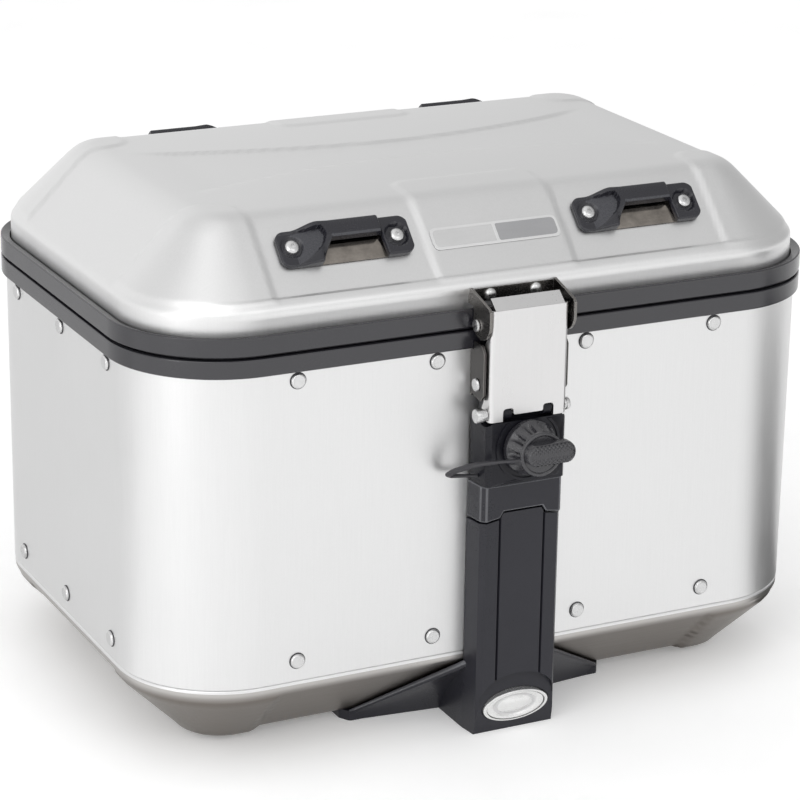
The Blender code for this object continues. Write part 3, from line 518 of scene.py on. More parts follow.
# ==== shapes that follow the case's outline =======================================
def outline(inset, steps=22):
    """The case's rounded rectangle, moved inwards by inset."""
    radius = max(CORNER - inset, 0.5)
    cx, cy = HALF_W - inset - radius, HALF_D - inset - radius
    loop = []
    for sx, sy, start in ((1, -1, -90), (1, 1, 0), (-1, 1, 90), (-1, -1, 180)):
        loop += arc((sx * cx, sy * cy), radius, start, start + 90, steps)
    return loop


def ring(profile, steps=22):
    """Closed profile of (inset, z) swept round the case."""
    loops = [outline(t, steps) for t, _ in profile]
    n, m = len(loops[0]), len(profile)
    verts = [(x, y, z) for loop, (_, z) in zip(loops, profile) for x, y in loop]
    faces = [(i * n + k, i * n + (k + 1) % n, ((i + 1) % m) * n + (k + 1) % n,
              ((i + 1) % m) * n + k) for i in range(m) for k in range(n)]
    return bm_from(verts, faces)


def pressed(levels, thickness, spacing, field, lift=None):
    """A pressed sheet. levels: rings of (inset, z) from its edge to its middle;
    field(x, y, level) is how far it stands out; lift(x, y, level) is added to z."""
    last = len(levels) - 1
    ny = 2 * last
    nx = ny + 2 * round((HALF_W - HALF_D) / spacing)
    points = np.zeros((nx + 1, ny + 1, 3))
    level = np.zeros((nx + 1, ny + 1))
    for i in range(nx + 1):
        for j in range(ny + 1):
            k = min(i, nx - i, j, ny - j)
            t, z = levels[k]
            a, b, r = HALF_W - t, HALF_D - t, max(CORNER - t, 0.0)
            along_x = k in (j, ny - j)
            half, at = (nx / 2, i) if along_x else (ny / 2, j)
            s = (at - half) / (half - k)
            straight = (a if along_x else b) - r
            pos = abs(s) * (straight + r * pi / 4)
            if pos <= straight:
                u, v = pos, (b if along_x else a)
            else:
                turn = (pos - straight) / r
                u = straight + r * sin(turn)
                v = (b if along_x else a) - r + r * cos(turn)
            u = u if s > 0 else -u
            if along_x:
                points[i, j] = (u, -v if k == j else v, z)
            else:
                points[i, j] = (-v if k == i else v, u, z)
            level[i, j] = k
    x, y = points[..., 0].copy(), points[..., 1].copy()
    if lift is not None:
        points[..., 2] += lift(x, y, level)
    normal = np.cross(np.gradient(points, axis=0), np.gradient(points, axis=1))
    normal /= np.linalg.norm(normal, axis=2, keepdims=True)
    if levels[-1][1] < levels[0][1]:
        normal = -normal
    outer = points + normal * field(x, y, level)[..., None]
    inner = outer - normal * thickness
    return grid_solid(outer.tolist(), inner.tolist())


def pad(gap_x, gap_y, radius, soft):
    """1 where both gaps to the pad's edges are negative, with a rounded corner."""
    qx, qy = gap_x + radius, gap_y + radius
    distance = (np.hypot(np.maximum(qx, 0), np.maximum(qy, 0))
                + np.minimum(np.maximum(qx, qy), 0) - radius)
    return 1.0 - smooth(distance, -soft, soft)


# ==== lid =========================================================================
lid_levels = [(3.4, z) for z in (250.0, 254.0, 258.0, 261.5, 264.5, 266.5, 268.0)]
lid_levels += [(3.5, 269.3), (3.85, 270.5), (4.5, 271.6), (5.3, 272.6)]
lid_levels += [(t, 267.4 + t) for t in (6.1, 6.9, 7.6, 8.3, 9.1, 10.2, 11.6)]
lid_levels += [(t, 267.4 + t) for t in np.linspace(13.3, 38.0, 15)]
lid_levels += [(39.6, 306.9), (41.2, 308.3), (42.9, 309.6), (44.7, 310.8), (46.7, 311.8),
               (48.9, 312.6), (51.2, 313.2), (53.6, 313.6), (56.0, 313.8)]
top_start = len(lid_levels) - 1
lid_levels += [(t, 313.8) for t in np.linspace(58.2, HALF_D, 42)]
lid_t = np.array([t for t, _ in lid_levels])
lid_z = np.array([z for _, z in lid_levels])


def lid_crown(x, y, level):
    crown = ((1 - np.minimum(np.abs(x) / 162.7, 1.0) ** 2.5)
             * (1 - np.minimum(np.abs(y) / 91.8, 1.0) ** 2.5))
    return 3.3 * crown * (level >= top_start)


def lid_field(x, y, level):
    """Raised pads, the step above the skirt and the shallow bow-tie of the top."""
    ax, ay = np.abs(x), np.abs(y)
    t, z = lid_t[level.astype(int)], lid_z[level.astype(int)]
    centre = pad(ax - 44.0, 74.0 - ay, 9.0, 1.3)
    pads = np.maximum(centre, pad(LID_PAD[0] - ax, LID_PAD[1] - ay, 14.0, 1.3))
    pads = pads * smooth(t, 5.0, 9.0) * (z > 266)
    skirt = (smooth(z, 262.0, 270.5) * (1.0 - smooth(t, 7.2, 8.6))
             * (1.0 - smooth(ax, 150.0, 186.0)) * (ay > 90.0))
    waist_f = -24.5 - 0.00098 * x * x
    waist_r = 12.0 + 0.0017 * x * x
    tie = (smooth(y, waist_f - 1.3, waist_f + 1.3) * (1 - smooth(y, waist_r - 1.3, waist_r + 1.3))
           * (1.0 - smooth(ax, 128.0, 158.0)) * (level > top_start))
    return 1.0 * pads + 1.9 * skirt - 1.25 * tie


def make_lid():
    bm = pressed(lid_levels, LID_SHEET, 2.1, lid_field, lid_crown)
    piece("lid_skin", bm, ALUMINIUM, "lid", ["lid_shell"], 60.0)
    rim = rounded([(-3.0, 248.1), (-3.0, 258.7), (-2.3, 259.2), (2.6, 257.6), (2.6, 249.6),
                   (5.8, 249.6), (5.8, 255.0), (7.6, 255.0), (7.6, 248.1)],
                  [0.9, 0.6, 0.6, 0.5, 0.2, 0.2, 0.5, 0.5, 0.5], 3)
    piece("lid_rim_moulding", ring(rim), RIM, "lid", ["lid_rim"])
    seal = rounded([(0.2, 246.6), (0.2, 248.0), (3.2, 248.0), (3.2, 246.6), (1.7, 246.35)],
                   0.5, 3)
    piece("lid_seal", ring(seal), RUBBER, "lid", ["lid_gasket"])


def make_badge():
    up, normal = Vector((0, 1, 1)).normalized(), Vector((0, -1, 1)).normalized()
    origin = Vector((0.0, -HALF_D + 4.6 + (292.7 - 272.0), 292.7))
    plate = prism(rounded([(-40.8, -7.1), (40.8, -7.1), (40.8, 7.1), (-40.8, 7.1)], 4.2, 8),
                  1.25, 1.75, "Z")
    bevel(plate, 0.18, 2)
    left = prism(rounded([(-39.2, -5.5), (-1.0, -5.5), (-1.0, 5.5), (-39.2, 5.5)],
                         [3.2, 0.4, 0.4, 3.2], 6), 1.5, 1.83, "Z")
    right = prism(rounded([(1.0, -5.5), (39.2, -5.5), (39.2, 5.5), (1.0, 5.5)],
                          [1.2, 3.2, 3.2, 1.2], 6), 1.5, 1.83, "Z")
    bm = merged((plate, 0), (left, 1), (right, 2))
    bm.transform(Matrix.Translation(origin)
                 @ Matrix((Vector((1, 0, 0)), up, normal)).transposed().to_4x4())
    piece("badge", bm, [BADGE_EDGE, BADGE_LIGHT, BADGE_DARK], "lid", ["badge_plate"])


# ==== strap loops =================================================================
LOOP_A0, LOOP_A1 = -40.4, 40.6


def loop_mesh():
    """Bridge-shaped loop: a along its length, b up the slope, n off the slope."""
    stations = sorted(set(
        [LOOP_A0 + d for d in (0.0, 0.15, 0.5, 1.0, 1.7, 2.6, 3.6)]
        + [LOOP_A1 - d for d in (0.0, 0.15, 0.5, 1.0, 1.7, 2.6, 3.6)]
        + list(np.arange(-38.0, 36.4, 0.7)) + [21.4, 21.9, 22.4, 23.6, 24.1]))
    cols = 37
    top, bottom = [], []
    for a in stations:
        leg = float(np.clip((a + 16.5) / 8.0, 0.0, 1.0))
        stop = float(smooth(a, 22.4, 23.8))
        bar = leg * (1 - stop)
        end = min(a - LOOP_A0, LOOP_A1 - a)
        corner = 5.5 - sqrt(max(0.0, 5.5 ** 2 - max(0.0, 5.5 - end) ** 2))
        b_low = -12.0 + 13.2 * bar + corner
        b_high = 12.0 - corner - 1.6 * (1 - float(smooth(a, -31.0, -16.0)))
        n_low = 0.5 + 2.6 * bar
        rise = float(smooth(a, -31.0, -15.0)) * (1 - float(smooth(a, 21.2, 22.4)))
        row_t, row_b = [], []
        for j in range(cols):
            f = 0.5 - 0.5 * cos(pi * j / (cols - 1))
            b = b_low + (b_high - b_low) * f
            low = 1.0 - 0.5 * (1 - float(smooth(b, -6.0, 2.5)))
            n = 3.4 + 5.6 * rise * low
            if a > 23.0:
                n = 4.4
            n -= 0.045 * max(0.0, abs(b - 6.2) - 1.5) ** 2 * bar
            # facet beside the left screw, falling towards it
            edge = -12.5 - 0.075 * (b - 4.0) ** 2
            if a < edge and b < 8.6:
                n = min(n, 2.9 + 0.17 * max(0.0, a + 29.0))
            for dx, radius in ((-LOOP_SCREW_DX, 6.0), (LOOP_SCREW_DX - 0.4, 6.4)):
                away = sqrt((a - dx) ** 2 + b * b)
                n = 1.9 + (n - 1.9) * float(smooth(away, radius, radius + 0.9))
            side = min(b - b_low, b_high - b, end + 0.05)
            r = 1.2
            if side < r:
                n -= r - sqrt(max(0.0, r * r - (r - side) ** 2))
            row_t.append((a, b, max(n, n_low + 0.4)))
            row_b.append((a, b, n_low))
        top.append(row_t)
        bottom.append(row_b)
    # Painted shade: a thin sheet in the loop's opening carries the darkened loop-floor metal
    # (index 1).
    floor = prism(rounded([(-25.0, -11.8), (27.0, -11.8), (27.0, 8.0), (-25.0, 8.0)], 1.0, 2),
                  0.45, 0.8, "Z")
    loop = grid_solid(top, bottom)
    bmesh.ops.recalc_face_normals(loop, faces=loop.faces)
    # Painted highlight: up-facing faces of the leaf facet beside the left screw and a line along
    # the bar get the lighter plastic (index 2).
    for face in loop.faces:
        a, b, n = face.calc_center_median()
        leaf = -31.0 < a < -13.0 - 0.075 * (b - 4.0) ** 2 and b < 8.0 and 2.6 < n < 6.5
        line = -9.0 < a < 21.0 and 1.4 < b < 2.6 and n > 5.0
        face.material_index = 2 if face.normal.z > 0.2 and (leaf or line) else 0
    return merged((loop, None), (floor, 1))


def screw_mesh():
    """Round domed head with a hexagonal socket, seat at height 0."""
    head = turned([(0, -0.4), (4.2, -0.4), (4.3, 0.2), (4.2, 1.3), (3.7, 2.1), (2.9, 2.55),
                   (1.9, 2.75), (0, 2.8)], ORIGIN, Z_AXIS, 36)
    socket = turned([(0, 1.2), (1.35, 1.2), (1.5, 4.0), (0, 4.0)], ORIGIN, Z_AXIS, 6)
    return boolean(head, socket)


def make_loops():
    number = 0
    for sy in (-1, 1):
        for sx in (-1, 1):
            origin = Vector((sx * LOOP_X, sy * (LOOP_Y - 1.4), LOOP_Z + 1.4))
            up, normal = Vector((0, -sy, 1)).normalized(), Vector((0, sy, 1)).normalized()
            turn = Matrix((Vector((-sy, 0, 0)), up, normal)).transposed().to_4x4()
            bm = loop_mesh()
            bm.transform(Matrix.Translation(origin) @ turn)
            number += 1
            piece(f"strap_loop_moulding_{number}", bm, [LOOP_PLASTIC, POCKET_SHADE, LOOP_HIGHLIGHT_PLASTIC], "lid",
                  [f"strap_loop_{number}"], 50.0)
            for k, dx in enumerate((-LOOP_SCREW_DX, LOOP_SCREW_DX)):
                bm = screw_mesh()
                bm.transform(Matrix.Rotation(0.4 + 0.9 * k + 0.5 * number, 4, "Z"))
                aligned(bm, origin + Vector((dx, 0, 0)) + normal * 2.2, normal)
                index = 2 * (number - 1) + k + 1
                piece(f"strap_screw_{index}", bm, FASTENER, "lid", [f"loop_screw_{index}"])


# ==== case body ===================================================================
RIVET_HEAD = [(0, -0.6), (4.3, -0.6), (4.4, 0.3), (4.4, 0.9), (4.15, 1.5), (3.7, 1.85),
              (3.35, 1.95), (3.1, 1.8), (1.8, 1.88), (0, 1.9)]
# Painted shadow: a thin dark rubber ring under each rivet head stands for the dark rim of shade
# round the heads.
RIVET_SHADOW_RING = [(0, -0.5), (4.6, -0.5), (4.95, 0.05), (4.9, 0.35), (4.5, 0.5), (0, 0.5)]


def rivet_sites():
    for sy in (-1, 1):
        for x in (-RIVET_X[1], -RIVET_X[0], RIVET_X[0], RIVET_X[1]):
            yield (x, sy * HALF_D), (0, sy, 0)
    for sx in (-1, 1):
        for y in RIVET_Y:
            yield (sx * HALF_W, y), (sx, 0, 0)


def rivet_row(z, inside):
    parts = []
    for (x, y), normal in rivet_sites():
        parts.append((turned(RIVET_HEAD, (x, y, z), normal, 32), 0))
        # the dark ring under each head is a painted shadow
        parts.append((turned(RIVET_SHADOW_RING, (x, y, z), normal, 32), 1))
        tail = [(0, -inside - 1.9), (1.4, -inside - 1.8), (2.6, -inside - 1.2),
                (3.1, -inside - 0.4), (3.1, -inside + 0.5), (0, -inside + 0.5)]
        parts.append((turned(tail, (x, y, z), normal, 20), 0))
    return merged(*parts)


pan_levels = [(2.2, z) for z in (74.0, 68.0, 62.0, 56.0, 52.0, 50.2)]
pan_levels += [(2.0, 49.5), (1.3, 49.2), (0.7, 48.9), (0.3, 48.2), (0.2, 47.2), (0.2, 46.0),
               (0.25, 44.9), (0.6, 44.0), (1.3, 43.1), (2.2, 42.0)]
pan_levels += [(t, 44.2 - t) for t in np.linspace(3.4, 34.8, 17)]
pan_levels += [(36.4, 8.0), (37.8, 7.1), (39.4, 6.6), (41.4, 6.5), (44.0, 6.5), (47.0, 6.5),
               (50.0, 6.5), (53.0, 6.5), (56.0, 6.5), (59.0, 6.5)]
pan_levels += [(t, 6.5) for t in np.linspace(63.0, HALF_D, 20)]
pan_t = np.array([t for t, _ in pan_levels])
pan_z = np.array([z for _, z in pan_levels])


def pan_field(x, y, level):
    """The corners stand proud of the slope between them and hang lower as feet."""
    t, z = pan_t[level.astype(int)], pan_z[level.astype(int)]
    pads = pad(PAN_PAD[0] - np.abs(x), PAN_PAD[1] - np.abs(y), 8.0, 1.1)
    slope = 1.7 * smooth(t, 1.0, 4.5) * (z < 44.0)
    foot = 1.4 * smooth(t, 35.0, 40.0) - 2.7 * smooth(t, 50.0, 57.0)
    return pads * (slope + foot)


def make_body():
    wall = rounded([(0.0, WALL_Z0), (0.0, WALL_Z1), (1.8, WALL_Z1), (1.8, WALL_Z0)], 0.5, 3)
    piece("case_wall", ring(wall, 30), ALUMINIUM, "case", ["body_shell"])
    bm = pressed(pan_levels, PAN_SHEET, 4.0, pan_field)
    bmesh.ops.recalc_face_normals(bm, faces=bm.faces)
    # Painted reflection: the hem above z 47.6 takes the lighter wall aluminium; the outside takes
    # the darkened pan copy (painted shade); up-facing inside faces take the inner aluminium.
    for face in bm.faces:
        wall_side = face.calc_center_median().z > 47.6
        face.material_index = 1 if wall_side else 2 if face.normal.z > 0.05 else 0
    piece("base_pan", bm, [SHADED_PAN_METAL, ALUMINIUM, INNER_METAL], "case", ["bottom_pan"],
          60.0)
    rim = rounded([(-3.0, 236.2), (-3.0, 246.3), (4.2, 246.3), (4.2, 237.6), (2.2, 237.6),
                   (2.2, 244.9), (-0.3, 244.9), (-0.3, 235.9), (-2.2, 235.6)],
                  [0.9, 0.9, 0.5, 0.4, 0.3, 0.2, 0.2, 0.4, 0.5], 3)
    piece("body_rim_moulding", ring(rim), RIM, "case", ["body_rim"])
    for name, inset, low, high in (("upper", 2.2, 224.0, 235.6), ("lower", 4.6, 56.0, 68.4)):
        strip = rounded([(inset, low), (inset, high), (inset + 1.5, high),
                         (inset + 1.5, low)], 0.4, 2)
        piece(f"{name}_backing_strip", ring(strip), INNER_METAL, "case")
    for name, z, inside in (("upper", RIVET_UP_Z, 3.7), ("lower", RIVET_LOW_Z, 6.1)):
        piece(f"{name}_rivets", rivet_row(z, inside), [FASTENER, RUBBER], "case",
              [f"{name}_rivet_rail"])


# ==== base tray with its wings ====================================================
def wing(side):
    """Tapering web that hugs the pan's slope, with a rolled upper lip."""
    loops, rows, lip_steps = [], 22, 10
    for i in range(rows + 1):
        s = i / rows
        x = side * (26.5 + (84.0 - 26.5) * s)
        z_top = 43.2 + (6.2 - 43.2) * s
        lip = 2.4 * (1 - 0.5 * s)
        centre = (-104.6 - z_top - 0.72 * lip, z_top - 0.72 * lip)
        loop = arc(centre, lip, 45, 225, lip_steps)
        start, y_foot = loop[-1], -118.5 + 5.9 * s
        for k in range(1, 9):
            t = k / 8
            sag = (1.8 + 3.2 * (1 - s)) * sin(pi * t)
            loop.append((start[0] + (y_foot - start[0]) * t + sag * 0.6,
                         start[1] + (0.25 - start[1]) * t + sag * 0.25))
        loop += [(-108.0, 0.25), (-108.0, 3.0), (-110.2, 5.3)]
        loops.append([(x, y, z) for y, z in loop])
    bm = loft(loops)
    n = len(loops[0])
    # Painted highlight: faces 2 to 5 round each loop, the rolled lip, get the lighter edge
    # plastic.
    for index, face in enumerate(bm.faces):
        face.material_index = int(index < rows * n and 2 <= index % n <= 5)
    return bm


def make_tray():
    plan = rounded([(-84, -113), (84, -113), (88, -106), (88, 100), (76, 112), (-76, 112),
                    (-88, 100), (-88, -106)], 3.0, 3)
    tray = prism(plan, 0.0, 6.1, "Z")
    screws = [(sx * 60.0, sy * 72.0) for sx in (-1, 1) for sy in (-1, 1)]
    cuts = merged(*[box(x - 16, x + 16, 88, 116, 1.6, 9.0) for x in (-44.0, 44.0)],
                  *[rod(3.0, 1.5, 9.0, (x, y, 0), Z_AXIS) for x, y in screws],
                  box(-30.0, 30.0, -108.0, -40.0, -1.0, 3.4),
                  *[box(x - 3.0, x + 3.0, -30.0, 78.0, -1.0, 1.2)
                    for x in (-72, -58, -30, -16, 0, 16, 30, 58, 72)])
    tray = boolean(tray, cuts)
    bevel(tray, 0.45, 2, 50.0)
    piece("base_tray", tray, PLASTIC, "case", ["mount_tray"])
    for side, name in ((-1, "left"), (1, "right")):
        piece(f"tray_wing_{name}", wing(side), [PLASTIC, EDGE], "case",
              smooth=50.0)
    for index, (x, y) in enumerate(screws):
        bm = screw_mesh()
        bm.transform(Matrix.Rotation(0.7 * index, 4, "Z") @ Matrix.Scale(1.3, 4))
        bm.transform(Matrix.Translation((x, y, 8.9)))
        piece(f"tray_screw_head_{index + 1}", bm, FASTENER, "case",
              [f"tray_screw_{index + 1}"])


# ==== lock column, collar, button =================================================
def oval(half_width, low, high, steps=48, edge=0.0):
    """Oval disc on the button's axis."""
    bm = rod(half_width, low, high, ORIGIN, Z_AXIS, steps, edge)
    bm.transform(Matrix.Diagonal((1.0, BUTTON_RATIO, 1.0, 1.0)))
    return aligned(bm, BUTTON, BUTTON_AXIS)


def column_plan():
    return prism([(-COLUMN_HALF, -100.0), (-COLUMN_HALF, front(0)), (-25.9, front(13.5)),
                  (-23.0, front(17.2)), (23.0, front(17.2)), (25.9, front(13.5)),
                  (COLUMN_HALF, front(0)), (COLUMN_HALF, -100.0)], -2.0, 150.0, "Z")


def make_column():
    body = side_prism([(0.4, 139.8), (17.0, 139.8), (17.0, 29.0), (12.0, 0.0), (-34.2, 0.0),
                       (-34.2, 8.6), (-1.0, 41.9), (0.4, 43.2)], -COLUMN_HALF, COLUMN_HALF)
    body = boolean(body, column_plan(), "INTERSECT")
    for x in (-14.4, 14.4):
        groove = prism([(x - 1.1, front(18)), (x, front(14.9)), (x + 1.1, front(18))],
                       26.0, 150.0, "Z")
        body = boolean(body, groove)
    scoop = rod(24.4, 13.0, 24.0, ORIGIN, Z_AXIS, 56)
    scoop.transform(Matrix.Diagonal((1.0, 0.60, 1.0, 1.0)))
    aligned(scoop, BUTTON - BUTTON_AXIS * 13.0 + Vector((0, 0, 1.6)),
            (BUTTON_AXIS + Vector((0, 0, 0.34))).normalized())
    cuts = merged(
        prism([(-31, 132.2), (-14.8, 134.8), (-12.3, 138.8), (12.3, 138.8), (14.8, 134.8),
               (31, 132.2), (31, 150), (-31, 150)], front(20), front(-2), "Y"),
        oval(22.2, -14.0, 4.0), rod(4.0, -24.0, -13.0, BUTTON, BUTTON_AXIS),
        prism([(-146.4, -1.0), (-146.4, 24.5), (-131.5, 24.5), (-127.6, 20.6), (-127.6, -1.0)],
              -14.0, 14.0), scoop)
    body = boolean(body, cuts, crossing=True)
    body = boolean(body, box(-20.0, 20.0, front(13.5), front(-1), 52.0, 128.0))
    # The bevel faces get the lighter edge plastic: a painted highlight.
    bevel(body, 0.8, 3, 24.0, material=1)
    piece("column_body", body, [PLASTIC, EDGE], "case", ["lock_column"], 30.0)

    collar = prism([(-31, 133.6), (-15.0, 136.2), (-12.6, 140.1), (12.6, 140.1),
                    (15.0, 136.2), (31, 133.6), (31, 156.4), (-31, 156.4)],
                   front(18.0), front(0.4), "Y")
    plan = [(-COLUMN_HALF, front(0.4)), (-26.3, front(14.5)), (-23.8, front(18.2)),
            (23.8, front(18.2)), (26.3, front(14.5)), (COLUMN_HALF, front(0.4))]
    collar = boolean(collar, prism(plan, 120.0, 170.0, "Z"), "INTERSECT")
    collar = boolean(collar, box(-6.8, 6.8, front(9.6), front(4.4), 150.0, 160.0))
    # The bevel faces get the lighter edge plastic: a painted highlight.
    bevel(collar, 0.8, 3, 24.0, material=1)
    piece("collar_moulding", collar, [PLASTIC, EDGE], "case", ["column_collar"],
          30.0)


def make_button():
    body = oval(21.5, -4.0, 1.1, 64, 0.7)
    body = boolean(body, oval(19.4, -1.6, 3.0, 64))
    face = turned([(0, -2.0), (18.9, -2.0), (18.9, 0.35), (18.5, 0.7), (17.2, 0.7),
                   (15.6, 0.3), (14.2, -0.4), (12.8, -0.8), (11.4, -0.5), (9.4, 0.1),
                   (6.6, 0.7), (3.5, 1.0), (0, 1.1)], ORIGIN, Z_AXIS, 72)
    # Painted shade: the groove ring of the face, radius 11.6 to 14.4, gets the darker, duller
    # badge metal.
    for part in face.faces:
        part.material_index = int(11.6 < part.calc_center_median().to_2d().length < 14.4)
    face.transform(Matrix.Diagonal((1.0, BUTTON_RATIO, 1.0, 1.0)))
    aligned(face, BUTTON, BUTTON_AXIS)
    stem = rod(3.4, -22.8, -3.0, BUTTON, BUTTON_AXIS)
    piece("release_button_cap", merged(body, face, stem), [SILVER, BADGE_LIGHT], "release",
          ["release_button"], 40.0)

    turns, low, high, wire, rows, sides = 4.0, -13.6, -4.4, 0.5, 120, 10
    coil = []
    for i in range(rows + 1):
        a = 2 * pi * turns * i / rows
        h = low + wire + (high - low - 2 * wire) * i / rows
        coil.append([((6.0 + wire * cos(b)) * cos(a), (6.0 + wire * cos(b)) * sin(a),
                      h + wire * sin(b)) for b in (2 * pi * s / sides for s in range(sides))])
    obj = piece("button_coil", aligned(loft(coil), BUTTON, BUTTON_AXIS), FASTENER, "case",
                ["button_spring"])
    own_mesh(obj)


# ==== latch =======================================================================
def pin(origin, radius, head_r, grip, end):
    half = [(head_r - 1.2, end), (head_r - 0.4, end - 0.3), (head_r, end - 1.0), (head_r, grip),
            (radius, grip)]
    return turned([(0, -end)] + [(r, -h) for r, h in half] + half[::-1] + [(0, end)],
                  origin, X_AXIS, 32)


def make_brackets():
    # body bracket behind the plate
    base = side_prism([(0.4, 207.5), (1.9, 207.5), (1.9, 235.4), (0.4, 235.4)], -27.2, 27.2)
    ear = rounded([(0.4, 209.7), (13.0, 206.8), (16.5, 211.0), (16.5, 236.0), (13.0, 240.4),
                   (3.6, 240.4), (3.6, 235.4), (0.4, 235.4)], [0, 2, 2, 2, 2, 1, 0, 0], 3)
    for side in (-1, 1):
        low, high = sorted((side * 25.6, side * 27.2))
        base = boolean(base, side_prism(ear, low, high), "UNION")
    pivot = (0.0, front(HANDLE_PIVOT[0]), HANDLE_PIVOT[1])
    base = boolean(base, rod(2.8, -40, 40, pivot, X_AXIS))
    # Painted shade and highlight: the latch bracket's faces take the darker copy and its bevels
    # the plain bracket steel, so the edges read lighter.
    bevel(base, 0.3, 2, 40.0, material=1)
    piece("latch_bracket", base, [SHADED_BRACKET, BRACKET], "case", ["latch_base"])
    for index, x in enumerate((-14.0, 14.0)):
        bm = turned([(0, -0.3), (3.6, -0.3), (3.6, 0.5), (2.9, 1.2), (1.5, 1.6), (0, 1.7)],
                    (x, front(1.9), 229.0), AHEAD, 24)
        piece(f"bracket_rivet_head_{index + 1}", bm, FASTENER, "case",
              [f"base_rivet_{index + 1}"])
    piece("pivot_pin", pin(pivot, 2.4, 3.9, 27.5, 28.9), FASTENER, "case", ["handle_pin"])

    # lid bracket
    back = side_prism(rounded([(-3.0, 261.2), (-1.6, 261.2), (-1.6, 269.2), (-3.0, 269.2)],
                              0.3, 2), -27.7, 27.7)
    ear = ([(-3.0, 261.0), (-3.0, 269.6), (-1.0, 270.1), (21.5, 263.9), (23.3, 262.0)]
           + arc((12.5, 254.6), 11.0, 0, -100, 14) + [(3.7, 247.0), (3.7, 261.0)])
    for side in (-1, 1):
        low, high = sorted((side * 26.1, side * 27.7))
        back = boolean(back, side_prism(ear, low, high), "UNION")
    stud = (0, front(STUD[0]), STUD[1])
    back = boolean(back, rod(2.7, -40, 40, stud, X_AXIS))
    # Painted highlight: the bevels get the bright stainless steel, so the bracket's edges read
    # lighter.
    bevel(back, 0.4, 2, 40.0, material=1)
    piece("keeper_bracket", back, [BRACKET, STEEL], "lid", ["lid_bracket"])
    for index, x in enumerate((-14.6, 14.6)):
        bm = turned([(0, -0.3), (3.7, -0.3), (3.75, 0.5), (3.2, 1.5), (2.0, 2.1), (0, 2.35)],
                    (x, front(-1.6), 264.8), AHEAD, 28)
        piece(f"keeper_rivet_{index + 1}", bm, FASTENER, "lid",
              [f"bracket_rivet_{index + 1}"])
    for index, side in enumerate((-1, 1)):
        bm = turned([(0, 22.9), (2.1, 22.9), (2.4, 23.2), (2.4, 28.0), (3.6, 28.0), (3.7, 28.4),
                     (3.4, 29.2), (2.4, 29.7), (0, 29.8)], stud, (side, 0, 0), 28)
        piece(f"stud_{index + 1}", bm, FASTENER, "lid", [f"keeper_stud_{index + 1}"])


def make_handle():
    recess = arc(LINK_PIVOT, 6.9, -36.5, -125.0, 14)
    side = ([(2.2, 159.0), (3.4, 156.8), (19.0, 156.8), (20.4, 157.4), (21.0, 159.0),
             (BLOCK_FRONT, 195.4)] + recess + [(2.2, recess[-1][1])])
    block = side_prism(side, -30.0, 30.0)
    block = boolean(block, prism([(-27.0, front(2.0)), (-25.6, front(17.5)),
                                  (-23.0, front(21.2)), (23.0, front(21.2)),
                                  (25.6, front(17.5)), (27.0, front(2.0))],
                                 150.0, 205.0, "Z"), "INTERSECT")
    arm = ([(2.7, 186.0), (12.0, 186.0), (12.0, 206.0)]
           + arc(HANDLE_PIVOT, 5.5, -30.0, 180.0, 18) + [(2.7, 206.0)])
    knuckle = [(8.0, 196.0)] + arc(LINK_PIVOT, 4.2, -135.0, 135.0, 22) + [(8.0, 203.0)]
    block = boolean(block, side_prism(arm, -22.6, 22.6), "UNION")
    for low, high in ((-15.4, -10.2), (10.2, 15.4)):
        block = boolean(block, side_prism(knuckle, low, high), "UNION")
    # groove and lip round the cap, and the key boss
    face = (0, front(BLOCK_FRONT), KEY_Z)
    lip = boolean(rod(20.6, -1.0, 0.9, face, AHEAD, 64),
                  rod(19.0, -3.0, 6.0, face, AHEAD, 64))
    lip = boolean(lip, box(-30, 30, front(30), front(10), 194.4, 210.0))
    block = boolean(block, lip, "UNION")
    block = boolean(block, boolean(rod(18.9, -3.2, 6.0, face, AHEAD, 64),
                                   rod(16.5, -9.0, 9.0, face, AHEAD, 64)))
    block = boolean(block, rod(10.6, -2.0, 4.0, face, AHEAD, 40), "UNION")
    block = boolean(block, box(-6.6, 6.6, front(9.4), front(4.6), 150.0, 172.5))
    block = boolean(block, merged(
        rod(2.75, -40, 40, (0, front(HANDLE_PIVOT[0]), HANDLE_PIVOT[1]), X_AXIS),
        rod(2.15, -40, 40, (0, front(LINK_PIVOT[0]), LINK_PIVOT[1]), X_AXIS),
        rod(9.0, 4.0, 30.0, (0, -HALF_D, KEY_Z), AHEAD, 40)))
    block = boolean(block, side_prism([(-1, 206.5), (20, 206.5), (20, 230), (-1, 230)],
                                      -17.0, 17.0))
    # The bevel faces get the lighter edge plastic: a painted highlight.
    bevel(block, 0.6, 3, 30.0, material=1)
    piece("handle_block", block, [SHADED_BLOCK_PLASTIC, EDGE], "latch_handle", ["latch_handle"],
          30.0)
    link = (0.0, front(LINK_PIVOT[0]), LINK_PIVOT[1])
    head = [(0, 24.9), (3.4, 24.9), (3.6, 25.2), (3.6, 26.3), (3.0, 26.5), (3.0, 26.9),
            (4.0, 27.0), (4.2, 27.4), (4.2, 31.0), (3.9, 31.5), (3.2, 31.7), (0, 31.8)]
    bm = merged(pin(link, 1.8, 3.7, 26.4, 28.7), turned(head, link, (-1, 0, 0), 36),
                rod(3.2, 24.9, 26.5, link, X_AXIS, 28, 0.25))
    piece("link_pin_heads", bm, FASTENER, "latch_handle", ["link_pin"])


